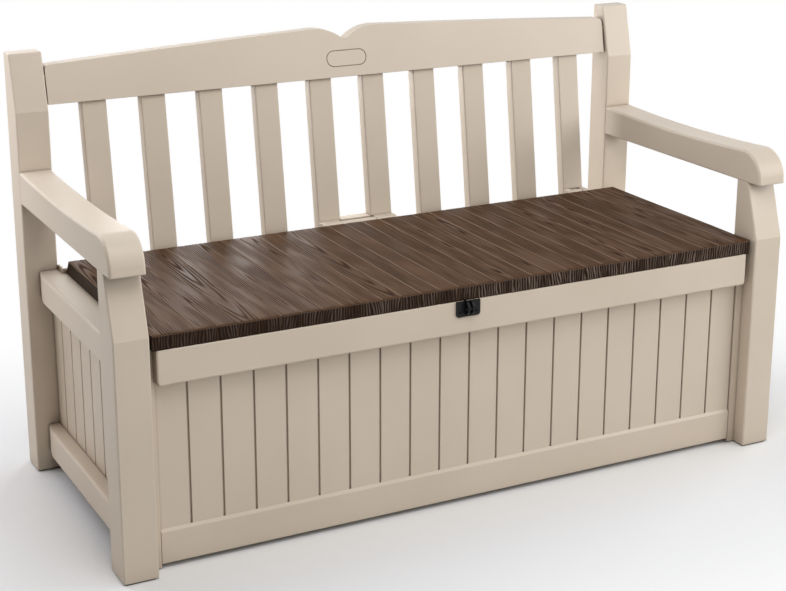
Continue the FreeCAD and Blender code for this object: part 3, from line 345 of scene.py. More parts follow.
def makeBlackSteel():
    # Phosphated and oiled steel: nearly black, with a faint metal glint on its edges
    material, tree = newMaterial("phosphated_steel_black")
    place = addNode(tree, "ShaderNodeTexCoord")
    mottle = addNode(tree, "ShaderNodeTexNoise", {"Scale": 1 / blackSteelLook["mottle"], "Detail": 2.0},
                     {"Vector": place.outputs["Object"]})
    tone = addNode(tree, "ShaderNodeValToRGB", None, {"Fac": mottle.outputs["Fac"]})
    setRamp(tone, [(0.3, blackSteelLook["deep"]), (0.7, blackSteelLook["pale"])])
    smoothest, roughest = blackSteelLook["roughness"]
    gloss = addNode(tree, "ShaderNodeMapRange", {"To Min": smoothest, "To Max": roughest},
                    {"Value": mottle.outputs["Fac"]})
    shader = addNode(tree, "ShaderNodeBsdfPrincipled", {"Metallic": 1.0},
                     {"Base Color": tone.outputs["Color"], "Roughness": gloss.outputs["Result"]})
    addNode(tree, "ShaderNodeOutputMaterial", None, {"Surface": shader.outputs["BSDF"]})
    return material


beige = makeBeige("moulded_polypropylene_beige", beigeLook["edge"])
armBeige = makeBeige("moulded_polypropylene_beige_rounded", beigeLook["armEdge"])
brown = makeBrown()
black = makeBlack()
footRubber = makeFootRubber()
zinc = makeZinc()
blackSteel = makeBlackSteel()
print("materials ready")


def finishOf(name):
    if name in ("lock_plate", "lid_lock_lug"):
        return black
    if "screws" in name or "pin" in name:
        return zinc
    if "foot" in name:
        return footRubber
    if name == "lid":
        return brown
    if "armrest" in name:
        return armBeige
    return beige


for name, node in nodes.items():
    node.data.materials.clear()
    node.data.materials.append(finishOf(name))
print("CAD pieces finished:", len(nodes))


lidLook = {
    "plankPitch": 0.0393,  # metres from seam to seam
    "columns": 42,  # mesh columns across one plank
    "rowPitch": 0.0105,  # metres between mesh rows along the top
    "rearSteps": 4,  # mesh rows up the rear slope, round each edge and down the front
    "roundSteps": 3,
    "frontSteps": 9,
    "gather": 0.4,  # how far the columns crowd to the seams
    "seamWidth": 0.0024,
    "seamDepth": 0.0016,
    "edgeWidth": 0.0016,  # width of the painted highlight along a plank's left edge
    "grainPitch": 0.0043,  # metres between growth rings
    "grainStretch": 22.0,  # rings are this much longer than wide
    "grainDepth": 0.0008,
    "heartReach": 0.055,  # how far the heart of the rings may lie from the middle of its plank
    "heartSpread": 0.7,  # length along the planks that the hearts are spread over
    "waveAcross": 0.035,  # metres across one slow wave of the grain, and along it
    "waveAlong": 0.28,
    "waveShift": 2.0,  # rings that a wave may push the grain aside
    "waveLayers": 61.0,  # how far apart the planks lie in the noise, so that none repeats
    "lineWidth": 0.34,  # half the width of a soft grain line, in shares of the ring pitch
    "patch": 2.2,  # patches of strong grain in the length of one wave
    "patchLimits": (0.38, 0.58),
    "patchFaint": 0.15,
    "ridgePitch": 0.0056,
    "ridgeDepth": 0.0014,
    "ridgeSlant": 0.3,
    "ridgeAcross": 0.012,  # metres across one wander of the ridges, and up it
    "ridgeUp": 0.04,
    "ridgeShift": 1.6,  # ridges that a wander may push aside
    "crest": (0.2, 0.44),  # foot of a ridge and edge of its flat crest, 0.5 being its middle
    "clump": 0.45,  # clumps of full ridges in the width of one wander
    "clumpLimits": (0.36, 0.62),
    "clumpFaint": 0.2,
    "ridgePlain": -0.6,  # the ridges are faint here and grow to the right, along x in metres
    "ridgeFull": 0.2,
    "ridgeFaint": 0.3,
    "rimHeight": 0.0035,  # plain rim above the ridges
    "edgeRound": 0.0012,
    "heel": 0.003,  # upright foot of the sloping rear edge
    "notches": ((-0.5684, -0.5144), (-0.0872, 0.0872), (0.5144, 0.5684)),  # room for the hinge blocks
    "leafRoom": 0.0192,  # height left open there for the hinge leaves
    "skin": 0.0022,  # wall of the grained skin over the ribbed underside
    "overlap": 0.0001,  # how far the underside reaches into the skin
    "topBand": 0.0015,  # the CAD lid's top face, rear wall and end walls are found within these
    "rearBand": 0.0018,
    "endBand": 0.001,
    "seed": 5,
}


lidInputs = {  # values that go to the tree as they are, and their names there
    "gather": "Gather",
    "seamWidth": "Seam Width",
    "seamDepth": "Seam Depth",
    "edgeWidth": "Edge Width",
    "grainPitch": "Grain Pitch",
    "grainStretch": "Grain Stretch",
    "grainDepth": "Grain Depth",
    "heartReach": "Heart Reach",
    "ridgePitch": "Ridge Pitch",
    "ridgeDepth": "Ridge Depth",
    "ridgeSlant": "Ridge Slant",
    "ridgePlain": "Ridge Plain",
    "ridgeFull": "Ridge Full",
}


def lidProfile(low, high, topBack):
    # Section of the grained skin from the rear lip over the top to the front lip, and back inside
    r = lidLook["edgeRound"]
    heel = low.z + lidLook["heel"]
    rise = high.z - r - heel
    slope = Vector((rise, high.y - topBack)).normalized()
    rows = [(high.y, low.z, 1.0, 0.0)]
    steps = lidLook["rearSteps"]
    for i in range(steps):
        part = i / steps
        rows.append((high.y + (topBack - high.y) * part, heel + rise * part, slope.x, slope.y))
    steps = lidLook["roundSteps"]
    quarter = [math.radians(90 * i / steps) for i in range(steps + 1)]
    for turn in quarter:
        out = (math.cos(turn), math.sin(turn))
        rows.append((topBack - r + r * out[0], high.z - r + r * out[1], out[0], out[1]))
    span = topBack - low.y - 2 * r
    count = round(span / lidLook["rowPitch"])
    for i in range(1, count):
        rows.append((topBack - r - span * i / count, high.z, 0.0, 1.0))
    for turn in quarter:
        out = (math.cos(math.pi / 2 + turn), math.sin(math.pi / 2 + turn))
        rows.append((low.y + r + r * out[0], high.z - r + r * out[1], out[0], out[1]))
    steps = lidLook["frontSteps"]
    drop = high.z - r - low.z
    for i in range(1, steps + 1):
        rows.append((low.y, high.z - r - drop * i / steps, -1.0, 0.0))
    inner = lidLook["skin"]
    rows.append((low.y + inner, low.z, 0.0, 0.0))
    rows.append((low.y + inner, high.z - inner, 0.0, 0.0))
    rows.append((topBack - inner, high.z - inner, 0.0, 0.0))
    rows.append((high.y - inner, heel, 0.0, 0.0))
    rows.append((high.y - inner, low.z, 0.0, 0.0))
    rows.append(rows[0])
    return rows


def lidTree():
    inputs = [("Width", "Float"), ("Columns", "Int"), ("Rows", "Int"), ("Plank Pitch", "Float"),
              ("Rim Level", "Float"), ("Seed", "Float"), ("Material", "Material")]
    inputs += [(label, "Float") for label in lidInputs.values()]
    tree, size, end = newGeometryTree("grained_planks", inputs)
    grid = addNode(tree, "GeometryNodeMeshGrid", {"Size Y": 1.0},
                   {"Size X": size["Width"], "Vertices X": size["Columns"], "Vertices Y": size["Rows"]})
    spot = addNode(tree, "GeometryNodeInputPosition").outputs[0]
    flat = addNode(tree, "ShaderNodeSeparateXYZ", None, {0: spot}).outputs

    # Row of the section that each grid point belongs to
    last = addNode(tree, "ShaderNodeMath", {"operation": "SUBTRACT", 1: 1.0}, {0: size["Rows"]})
    share = addNode(tree, "ShaderNodeMath", {"operation": "ADD", 1: 0.5}, {0: flat["Y"]})
    rawRow = addNode(tree, "ShaderNodeMath", {"operation": "MULTIPLY"},
                     {0: share.outputs[0], 1: last.outputs[0]})
    row = addNode(tree, "ShaderNodeMath", {"operation": "ROUND"}, {0: rawRow.outputs[0]}).outputs[0]
    section = addNode(tree, "GeometryNodeSampleIndex", {"data_type": "FLOAT_VECTOR", "domain": "POINT"},
                      {"Geometry": size["Geometry"], "Value": spot, "Index": row})
    outward = addNode(tree, "GeometryNodeInputNamedAttribute", {"data_type": "FLOAT_VECTOR", "Name": "out"})
    facing = addNode(tree, "GeometryNodeSampleIndex", {"data_type": "FLOAT_VECTOR", "domain": "POINT"},
                     {"Geometry": size["Geometry"], "Value": outward.outputs["Attribute"], "Index": row})
    at = addNode(tree, "ShaderNodeSeparateXYZ", None, {0: section.outputs[0]}).outputs
    out = addNode(tree, "ShaderNodeSeparateXYZ", None, {0: facing.outputs[0]}).outputs

    # Plank number and place within the plank, with the columns crowded to the seams
    half = addNode(tree, "ShaderNodeMath", {"operation": "MULTIPLY", 1: 0.5}, {0: size["Width"]}).outputs[0]
    shifted = addNode(tree, "ShaderNodeMath", {"operation": "ADD"}, {0: flat["X"], 1: half})
    planks = addNode(tree, "ShaderNodeMath", {"operation": "DIVIDE"},
                     {0: shifted.outputs[0], 1: size["Plank Pitch"]})
    # A nudge of far less than one column keeps rounding from putting a seam in the plank before it
    nudged = addNode(tree, "ShaderNodeMath", {"operation": "ADD", 1: 0.0005}, {0: planks.outputs[0]})
    number = addNode(tree, "ShaderNodeMath", {"operation": "FLOOR"}, {0: nudged.outputs[0]}).outputs[0]
    part = addNode(tree, "ShaderNodeMath", {"operation": "SUBTRACT"}, {0: planks.outputs[0], 1: number})
    turn = addNode(tree, "ShaderNodeMath", {"operation": "MULTIPLY", 1: 2 * math.pi}, {0: part.outputs[0]})
    wave = addNode(tree, "ShaderNodeMath", {"operation": "SINE"}, {0: turn.outputs[0]})
    pull = addNode(tree, "ShaderNodeMath", {"operation": "MULTIPLY", 1: -0.5 / math.pi},
                   {0: size["Gather"]})
    crowded = addNode(tree, "ShaderNodeMath", {"operation": "MULTIPLY_ADD"},
                      {0: wave.outputs[0], 1: pull.outputs[0], 2: part.outputs[0]}).outputs[0]
    place = addNode(tree, "ShaderNodeMath", {"operation": "ADD"}, {0: number, 1: crowded})
    across = addNode(tree, "ShaderNodeMath", {"operation": "MULTIPLY"},
                     {0: place.outputs[0], 1: size["Plank Pitch"]})
    x = addNode(tree, "ShaderNodeMath", {"operation": "SUBTRACT"},
                {0: across.outputs[0], 1: half}).outputs[0]
    seeded = addNode(tree, "ShaderNodeMath", {"operation": "ADD"}, {0: number, 1: size["Seed"]})
    chance = addNode(tree, "ShaderNodeTexWhiteNoise", {"noise_dimensions": "1D"}, {"W": seeded.outputs[0]})
    luck = chance.outputs["Value"]
    draws = addNode(tree, "ShaderNodeSeparateXYZ", None, {0: chance.outputs["Color"]}).outputs

    # V groove at each seam
    near = addNode(tree, "ShaderNodeMath", {"operation": "PINGPONG", 1: 0.5}, {0: crowded})
    gap = addNode(tree, "ShaderNodeMath", {"operation": "MULTIPLY"},
                  {0: near.outputs[0], 1: size["Plank Pitch"]})
    side = addNode(tree, "ShaderNodeMath", {"operation": "MULTIPLY", 1: 0.5}, {0: size["Seam Width"]})
    seam = addNode(tree, "ShaderNodeMapRange", {"To Min": 1.0, "To Max": 0.0},
                   {"Value": gap.outputs[0], "From Max": side.outputs[0]}).outputs["Result"]

    # Painted highlight along the left side of each plank, where its edge would catch the light
    halfEdge = addNode(tree, "ShaderNodeMath", {"operation": "MULTIPLY", 1: 0.5},
                       {0: size["Edge Width"]}).outputs[0]
    fromSeam = addNode(tree, "ShaderNodeMath", {"operation": "MULTIPLY"},
                       {0: crowded, 1: size["Plank Pitch"]})
    fromCrest = addNode(tree, "ShaderNodeMath", {"operation": "SUBTRACT"},
                        {0: fromSeam.outputs[0], 1: halfEdge})
    offCrest = addNode(tree, "ShaderNodeMath", {"operation": "ABSOLUTE"}, {0: fromCrest.outputs[0]})
    highlightBand = addNode(tree, "ShaderNodeMapRange", {"To Min": 1.0, "To Max": 0.0},
                   {"Value": offCrest.outputs[0], "From Max": halfEdge})

    # Grain lines are growth rings: long ovals about each plank's own heart, stirred by a slow noise
    twiceReach = addNode(tree, "ShaderNodeMath", {"operation": "MULTIPLY", 1: 2.0},
                         {0: size["Heart Reach"]}).outputs[0]
    drawnX = addNode(tree, "ShaderNodeMath", {"operation": "SUBTRACT", 1: 0.5}, {0: draws["X"]})
    fromMiddle = addNode(tree, "ShaderNodeMath", {"operation": "SUBTRACT", 1: 0.5}, {0: crowded})
    inPlank = addNode(tree, "ShaderNodeMath", {"operation": "MULTIPLY"},
                      {0: fromMiddle.outputs[0], 1: size["Plank Pitch"]})
    heartX = addNode(tree, "ShaderNodeMath", {"operation": "MULTIPLY_ADD"},
                     {0: drawnX.outputs[0], 1: twiceReach, 2: inPlank.outputs[0]})
    spread = lidLook["heartSpread"]
    heartY = addNode(tree, "ShaderNodeMath", {"operation": "MULTIPLY_ADD", 1: spread, 2: -0.5 * spread},
                     {0: draws["Y"]})
    alongY = addNode(tree, "ShaderNodeMath", {"operation": "SUBTRACT"}, {0: at["Y"], 1: heartY.outputs[0]})
    shortY = addNode(tree, "ShaderNodeMath", {"operation": "DIVIDE"},
                     {0: alongY.outputs[0], 1: size["Grain Stretch"]})
    heart = addNode(tree, "ShaderNodeCombineXYZ", None, {0: heartX.outputs[0], 1: shortY.outputs[0]})
    radius = addNode(tree, "ShaderNodeVectorMath", {"operation": "LENGTH"}, {0: heart.outputs[0]})
    plankSpot = addNode(tree, "ShaderNodeCombineXYZ", None, {0: x, 1: at["Y"], 2: luck})
    waves = (lidLook["waveAcross"], lidLook["waveAlong"], 1 / lidLook["waveLayers"])
    field = addNode(tree, "ShaderNodeVectorMath", {"operation": "DIVIDE", 1: waves},
                    {0: plankSpot.outputs[0]})
    slow = addNode(tree, "ShaderNodeTexNoise", {"Scale": 1.0, "Detail": 1.5, "Roughness": 0.4},
                   {"Vector": field.outputs[0]})
    steps = addNode(tree, "ShaderNodeMath", {"operation": "DIVIDE"},
                    {0: radius.outputs["Value"], 1: size["Grain Pitch"]})
    level = addNode(tree, "ShaderNodeMath", {"operation": "MULTIPLY_ADD", 1: lidLook["waveShift"]},
                    {0: slow.outputs["Fac"], 2: steps.outputs[0]})
    ring = addNode(tree, "ShaderNodeMath", {"operation": "PINGPONG", 1: 0.5}, {0: level.outputs[0]})
    line = addNode(tree, "ShaderNodeMapRange",
                   {"interpolation_type": "SMOOTHSTEP", "From Max": lidLook["lineWidth"],
                    "To Min": 1.0, "To Max": 0.0}, {"Value": ring.outputs[0]})
    patch = addNode(tree, "ShaderNodeTexNoise", {"Scale": lidLook["patch"], "Detail": 1.0},
                    {"Vector": field.outputs[0]})
    weak, strong = lidLook["patchLimits"]
    strength = addNode(tree, "ShaderNodeMapRange",
                       {"From Min": weak, "From Max": strong, "To Min": lidLook["patchFaint"]},
                       {"Value": patch.outputs["Fac"]})
    onTop = addNode(tree, "ShaderNodeMath", {"operation": "MAXIMUM", 1: 0.0}, {0: out["Z"]}).outputs[0]
    veins = addNode(tree, "ShaderNodeMath", {"operation": "MULTIPLY"},
                    {0: line.outputs["Result"], 1: strength.outputs["Result"]})
    grain = addNode(tree, "ShaderNodeMath", {"operation": "MULTIPLY"},
                    {0: veins.outputs[0], 1: onTop}).outputs[0]
    # painted highlight, kept on the top faces only
    edge = addNode(tree, "ShaderNodeMath", {"operation": "MULTIPLY"},
                   {0: highlightBand.outputs["Result"], 1: onTop}).outputs[0]

    # Uneven upright ridges of the end grain on the front edge, under a plain rim
    turnedY = addNode(tree, "ShaderNodeMath", {"operation": "MULTIPLY", 1: -1.0}, {0: out["Y"]})
    front = addNode(tree, "ShaderNodeMath", {"operation": "MAXIMUM", 1: 0.0},
                    {0: turnedY.outputs[0]}).outputs[0]
    frontSpot = addNode(tree, "ShaderNodeCombineXYZ", None, {0: x, 1: at["Z"], 2: size["Seed"]})
    wanders = (lidLook["ridgeAcross"], lidLook["ridgeUp"], 1.0)
    endField = addNode(tree, "ShaderNodeVectorMath", {"operation": "DIVIDE", 1: wanders},
                       {0: frontSpot.outputs[0]})
    wander = addNode(tree, "ShaderNodeTexNoise", {"Scale": 1.0, "Detail": 1.0},
                     {"Vector": endField.outputs[0]})
    leaning = addNode(tree, "ShaderNodeMath", {"operation": "SUBTRACT", 1: 0.5}, {0: draws["Z"]})
    slant = addNode(tree, "ShaderNodeMath", {"operation": "MULTIPLY"},
                    {0: leaning.outputs[0], 1: size["Ridge Slant"]})
    leant = addNode(tree, "ShaderNodeMath", {"operation": "MULTIPLY_ADD"},
                    {0: at["Z"], 1: slant.outputs[0], 2: x})
    beats = addNode(tree, "ShaderNodeMath", {"operation": "DIVIDE"},
                    {0: leant.outputs[0], 1: size["Ridge Pitch"]})
    beat = addNode(tree, "ShaderNodeMath", {"operation": "MULTIPLY_ADD", 1: lidLook["ridgeShift"]},
                   {0: wander.outputs["Fac"], 2: beats.outputs[0]})
    climb = addNode(tree, "ShaderNodeMath", {"operation": "PINGPONG", 1: 0.5}, {0: beat.outputs[0]})
    foot, flatTop = lidLook["crest"]
    crest = addNode(tree, "ShaderNodeMapRange",
                    {"interpolation_type": "SMOOTHSTEP", "From Min": foot, "From Max": flatTop},
                    {"Value": climb.outputs[0]})
    clump = addNode(tree, "ShaderNodeTexNoise", {"Scale": lidLook["clump"], "Detail": 2.0},
                    {"Vector": endField.outputs[0]})
    sparse, dense = lidLook["clumpLimits"]
    fullness = addNode(tree, "ShaderNodeMapRange",
                       {"From Min": sparse, "From Max": dense, "To Min": lidLook["clumpFaint"]},
                       {"Value": clump.outputs["Fac"]})
    growing = addNode(tree, "ShaderNodeMapRange", {"To Min": lidLook["ridgeFaint"]},
                      {"Value": x, "From Min": size["Ridge Plain"], "From Max": size["Ridge Full"]})
    grown = addNode(tree, "ShaderNodeMath", {"operation": "MULTIPLY"},
                    {0: fullness.outputs["Result"], 1: growing.outputs["Result"]})
    raised = addNode(tree, "ShaderNodeMath", {"operation": "MULTIPLY"},
                     {0: crest.outputs["Result"], 1: grown.outputs[0]})
    hollow = addNode(tree, "ShaderNodeMath", {"operation": "SUBTRACT", 0: 1.0}, {1: raised.outputs[0]})
    rim = addNode(tree, "ShaderNodeMath", {"operation": "GREATER_THAN"}, {0: at["Z"], 1: size["Rim Level"]})
    plain = addNode(tree, "ShaderNodeMath", {"operation": "SUBTRACT", 0: 1.0}, {1: rim.outputs[0]})
    ridge = addNode(tree, "ShaderNodeMath", {"operation": "MINIMUM"},
                    {0: hollow.outputs[0], 1: plain.outputs[0]}).outputs[0]
    ends = addNode(tree, "ShaderNodeMath", {"operation": "MULTIPLY"},
                   {0: front, 1: plain.outputs[0]}).outputs[0]

    # How far each point sinks below the outer face
    seamSink = addNode(tree, "ShaderNodeMath", {"operation": "MULTIPLY"}, {0: seam, 1: size["Seam Depth"]})
    topSink = addNode(tree, "ShaderNodeMath", {"operation": "MULTIPLY_ADD"},
                      {0: grain, 1: size["Grain Depth"], 2: seamSink.outputs[0]})
    frontDepth = addNode(tree, "ShaderNodeMath", {"operation": "MULTIPLY"},
                         {0: ridge, 1: size["Ridge Depth"]})
    sink = addNode(tree, "ShaderNodeMath", {"operation": "MULTIPLY_ADD"},
                   {0: frontDepth.outputs[0], 1: front, 2: topSink.outputs[0]})
    inward = addNode(tree, "ShaderNodeMath", {"operation": "MULTIPLY", 1: -1.0}, {0: sink.outputs[0]})
    push = addNode(tree, "ShaderNodeVectorMath", {"operation": "SCALE"},
                   {0: facing.outputs[0], "Scale": inward.outputs[0]})
    base = addNode(tree, "ShaderNodeCombineXYZ", None, {0: x, 1: at["Y"], 2: at["Z"]})
    final = addNode(tree, "ShaderNodeVectorMath", {"operation": "ADD"},
                    {0: base.outputs[0], 1: push.outputs[0]})

    surface = grid.outputs["Mesh"]
    marks = {"plank": luck, "grain": grain, "seam": seam, "edge": edge, "ridge": ridge, "front": ends}
    for label, value in marks.items():
        kept = addNode(tree, "GeometryNodeStoreNamedAttribute",
                       {"data_type": "FLOAT", "domain": "POINT", "Name": label},
                       {"Geometry": surface, "Value": value})
        surface = kept.outputs["Geometry"]
    moved = addNode(tree, "GeometryNodeSetPosition", None,
                    {"Geometry": surface, "Position": final.outputs[0]})
    smooth = addNode(tree, "GeometryNodeSetShadeSmooth", {"Shade Smooth": True},
                     {"Geometry": moved.outputs[0]})
    closed = addNode(tree, "GeometryNodeMergeByDistance", {"Distance": weld},
                     {"Geometry": smooth.outputs[0]})
    whole = addNode(tree, "GeometryNodeRealizeInstances", None, {"Geometry": closed.outputs[0]})
    painted = addNode(tree, "GeometryNodeSetMaterial", None,
                      {"Geometry": whole.outputs[0], "Material": size["Material"]})
    tree.links.new(painted.outputs[0], end.inputs[0])
    return tree


def makeLidSkin(low, high, topBack):
    rows = lidProfile(low, high, topBack)
    section = bpy.data.meshes.new("lidSection")
    section.from_pydata([(0.0, y, z) for y, z, outY, outZ in rows], [], [])
    outward = section.attributes.new("out", "FLOAT_VECTOR", "POINT")
    for i, (y, z, outY, outZ) in enumerate(rows):
        outward.data[i].vector = (0.0, outY, outZ)
    piece = newPiece("lidSection", section)
    width = high.x - low.x
    planks = round(width / lidLook["plankPitch"])
    values = {label: lidLook[key] for key, label in lidInputs.items()}
    values.update({"Width": width, "Columns": planks * lidLook["columns"] + 1, "Rows": len(rows),
                   "Plank Pitch": width / planks, "Rim Level": high.z - lidLook["rimHeight"],
                   "Seed": float(lidLook["seed"]), "Material": brown})
    mesh = growMesh(piece, lidTree(), values)
    bpy.data.objects.remove(piece)
    shell = bmesh.new()
    shell.from_mesh(mesh)
    step = width / planks / lidLook["columns"]
    inner = lidLook["skin"]
    reach = inner + lidLook["overlap"]
    for vert in shell.verts:
        if vert.co.y < topBack - reach or vert.co.z > high.z - reach:
            continue
        if any(a - step < vert.co.x < b + step for a, b in lidLook["notches"]):
            inside = any(abs(vert.co.y - y) < 2 * weld for y in (high.y - inner, topBack - inner))
            vert.co.y = topBack - inner if inside else topBack
            vert.co.z = max(vert.co.z, low.z + lidLook["leafRoom"])
    rims = [e for e in shell.edges if e.is_boundary]
    ends = bmesh.ops.holes_fill(shell, edges=rims, sides=0)["faces"]
    for face in ends:
        face.smooth = False
    for edge in rims:
        edge.smooth = False
    bmesh.ops.recalc_face_normals(shell, faces=shell.faces)
    shell.to_mesh(mesh)
    shell.free()
    return mesh


def makeLidUnderside(low, high, topBack):
    # The ribbed shell of the CAD lid, its outer faces drawn in so that the skin covers them
    shell = bmesh.new()
    shell.from_mesh(nodes["lid"].data)
    bmesh.ops.remove_doubles(shell, verts=shell.verts, dist=weld)
    draw = lidLook["skin"] - lidLook["overlap"]
    for vert in shell.verts:
        if vert.co.z > high.z - draw:
            vert.co.z = high.z - draw
        if vert.co.y < low.y + draw:
            vert.co.y = low.y + draw
        if vert.co.y > topBack - lidLook["rearBand"]:
            vert.co.y -= draw
    shell.normal_update()
    isEnd = []
    for face in shell.faces:
        face.smooth = False
        outermost = abs(face.calc_center_median().x) > high.x - lidLook["endBand"]
        isEnd.append(outermost and abs(face.normal.x) > squareOn)
    mesh = bpy.data.meshes.new("lidUnderside")
    shell.to_mesh(mesh)
    shell.free()
    wall = mesh.attributes.new("endWall", "FLOAT", "FACE")
    for i, end in enumerate(isEnd):
        wall.data[i].value = float(end)
    mesh.materials.append(brown)
    return mesh


def makeLid():
    low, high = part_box("lid")
    topFace = high.z - lidLook["topBand"]
    topBack = max(v.co.y for v in nodes["lid"].data.vertices if v.co.z > topFace)
    lid = newPiece("plankedLid", makeLidSkin(low, high, topBack))
    underside = newPiece("lidUnderside", makeLidUnderside(low, high, topBack))
    both = [lid, underside]
    with bpy.context.temp_override(active_object=lid, object=lid, selected_editable_objects=both):
        bpy.ops.object.join()
    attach(lid, "lid_assembly")
    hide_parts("lid")
    print("lid grown:", len(lid.data.polygons), "faces")


makeLid()


screwLook = {
    "headRadius": 0.0036,
    "headHeight": 0.0022,
    "crown": 0.6,  # how wide the flat top is, against the whole head
    "shankRadius": 0.00175,
    "recessLength": 0.0042,
    "recessWidth": 0.0009,
    "recessDepth": 0.0013,
    "sides": 24,
}


def screwTree():
    tree, size, end = newGeometryTree("cross_head_screws", [
        ("Head Radius", "Float"), ("Head Height", "Float"), ("Crown", "Float"), ("Sides", "Int"),
        ("Shank Radius", "Float"), ("Shank Length", "Float"), ("Recess Length", "Float"),
        ("Recess Width", "Float"), ("Recess Depth", "Float"), ("Outward", "Vector"),
        ("Material", "Material")])

    # Pan head, a low drum whose top is drawn in
    drum = addNode(tree, "ShaderNodeMath", {"operation": "MULTIPLY", 1: 0.5},
                   {0: size["Head Height"]}).outputs[0]
    low = addNode(tree, "GeometryNodeMeshCylinder", None,
                  {"Vertices": size["Sides"], "Radius": size["Head Radius"], "Depth": drum})
    half = addNode(tree, "ShaderNodeMath", {"operation": "MULTIPLY", 1: 0.5}, {0: drum}).outputs[0]
    onBearing = addNode(tree, "ShaderNodeCombineXYZ", None, {2: half})
    seated = addNode(tree, "GeometryNodeTransform", None, {"Geometry": low.outputs["Mesh"],
                                                           "Translation": onBearing.outputs[0]})
    normal = addNode(tree, "GeometryNodeInputNormal")
    upward = addNode(tree, "ShaderNodeSeparateXYZ", None, {0: normal.outputs[0]})
    isTop = addNode(tree, "FunctionNodeCompare",
                    {"data_type": "FLOAT", "operation": "GREATER_THAN", 1: squareOn},
                    {0: upward.outputs["Z"]})
    grown = addNode(tree, "GeometryNodeExtrudeMesh", {"mode": "FACES"},
                    {"Mesh": seated.outputs[0], "Selection": isTop.outputs[0], "Offset Scale": drum})
    head = addNode(tree, "GeometryNodeScaleElements", None,
                   {"Geometry": grown.outputs["Mesh"], "Selection": grown.outputs["Top"],
                    "Scale": size["Crown"]})

    # Shank, from inside the head to its tip
    shank = addNode(tree, "GeometryNodeMeshCylinder", None,
                    {"Vertices": size["Sides"], "Radius": size["Shank Radius"],
                     "Depth": size["Shank Length"]})
    drop = addNode(tree, "ShaderNodeMath", {"operation": "MULTIPLY_ADD", 1: -0.5},
                   {0: size["Shank Length"], 2: half})
    hung = addNode(tree, "ShaderNodeCombineXYZ", None, {2: drop.outputs[0]})
    below = addNode(tree, "GeometryNodeTransform", None, {"Geometry": shank.outputs["Mesh"],
                                                          "Translation": hung.outputs[0]})

    # Cross recess, two bars sunk into the top
    deep = addNode(tree, "ShaderNodeMath", {"operation": "MULTIPLY", 1: 2.0},
                   {0: size["Recess Depth"]}).outputs[0]
    top = addNode(tree, "ShaderNodeCombineXYZ", None, {2: size["Head Height"]}).outputs[0]
    bar = addNode(tree, "ShaderNodeCombineXYZ", None,
                  {0: size["Recess Length"], 1: size["Recess Width"], 2: deep})
    turned = addNode(tree, "ShaderNodeCombineXYZ", None,
                     {0: size["Recess Width"], 1: size["Recess Length"], 2: deep})
    cutters = []
    for shape in (bar, turned):
        cube = addNode(tree, "GeometryNodeMeshCube", None, {"Size": shape.outputs[0]})
        cutters.append(addNode(tree, "GeometryNodeTransform", None,
                               {"Geometry": cube.outputs["Mesh"], "Translation": top}))
    whole = addNode(tree, "GeometryNodeMeshBoolean", {"operation": "UNION", "solver": "EXACT"},
                    {"Mesh 2": head.outputs[0]})
    tree.links.new(below.outputs[0], whole.inputs["Mesh 2"])
    slotted = addNode(tree, "GeometryNodeMeshBoolean", {"operation": "DIFFERENCE", "solver": "EXACT"},
                      {"Mesh 1": whole.outputs["Mesh"]})
    for cutter in cutters:
        tree.links.new(cutter.outputs[0], slotted.inputs["Mesh 2"])

    facing = addNode(tree, "FunctionNodeAlignRotationToVector", {"axis": "Z"}, {"Vector": size["Outward"]})
    placed = addNode(tree, "GeometryNodeInstanceOnPoints", None,
                     {"Points": size["Geometry"], "Instance": slotted.outputs["Mesh"],
                      "Rotation": facing.outputs[0]})
    real = addNode(tree, "GeometryNodeRealizeInstances", None, {"Geometry": placed.outputs[0]})
    flat = addNode(tree, "GeometryNodeSetShadeSmooth", {"Shade Smooth": False},
                   {"Geometry": real.outputs[0]})
    painted = addNode(tree, "GeometryNodeSetMaterial", None,
                      {"Geometry": flat.outputs[0], "Material": size["Material"]})
    tree.links.new(painted.outputs[0], end.inputs[0])
    return tree


def looseBoxes(name):  # lowest and highest corner of each separate solid of a CAD node
    solids = bmesh.new()
    solids.from_mesh(nodes[name].data)
    bmesh.ops.remove_doubles(solids, verts=solids.verts, dist=weld)
    left = set(solids.verts)
    boxes = []
    while left:
        reached = [left.pop()]
        for vert in reached:
            for edge in vert.link_edges:
                other = edge.other_vert(vert)
                if other in left:
                    left.remove(other)
                    reached.append(other)
        corners = [[vert.co[i] for vert in reached] for i in range(3)]
        boxes.append((Vector(min(c) for c in corners), Vector(max(c) for c in corners)))
    solids.free()
    return boxes


def makeScrews(tree, name, group, outward, body, finish):
    out = Vector(outward)
    points = []
    for low, high in looseBoxes(group):
        middle = (low + high) / 2
        reach = abs((high - low).dot(out)) / 2
        points.append(middle + out * (reach - screwLook["headHeight"]))
    shank = 2 * reach - screwLook["headHeight"]
    spots = bpy.data.meshes.new(name + "Spots")
    spots.from_pydata(points, [], [])
    holder = newPiece(name + "Spots", spots)
    mesh = growMesh(holder, tree, {
        "Head Radius": screwLook["headRadius"], "Head Height": screwLook["headHeight"],
        "Crown": screwLook["crown"], "Sides": screwLook["sides"],
        "Shank Radius": screwLook["shankRadius"], "Shank Length": shank,
        "Recess Length": screwLook["recessLength"], "Recess Width": screwLook["recessWidth"],
        "Recess Depth": screwLook["recessDepth"], "Outward": outward, "Material": finish})
    bpy.data.objects.remove(holder)
    piece = newPiece(name, mesh)
    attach(piece, body)
    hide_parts(group)
    print("screws:", name, len(points))


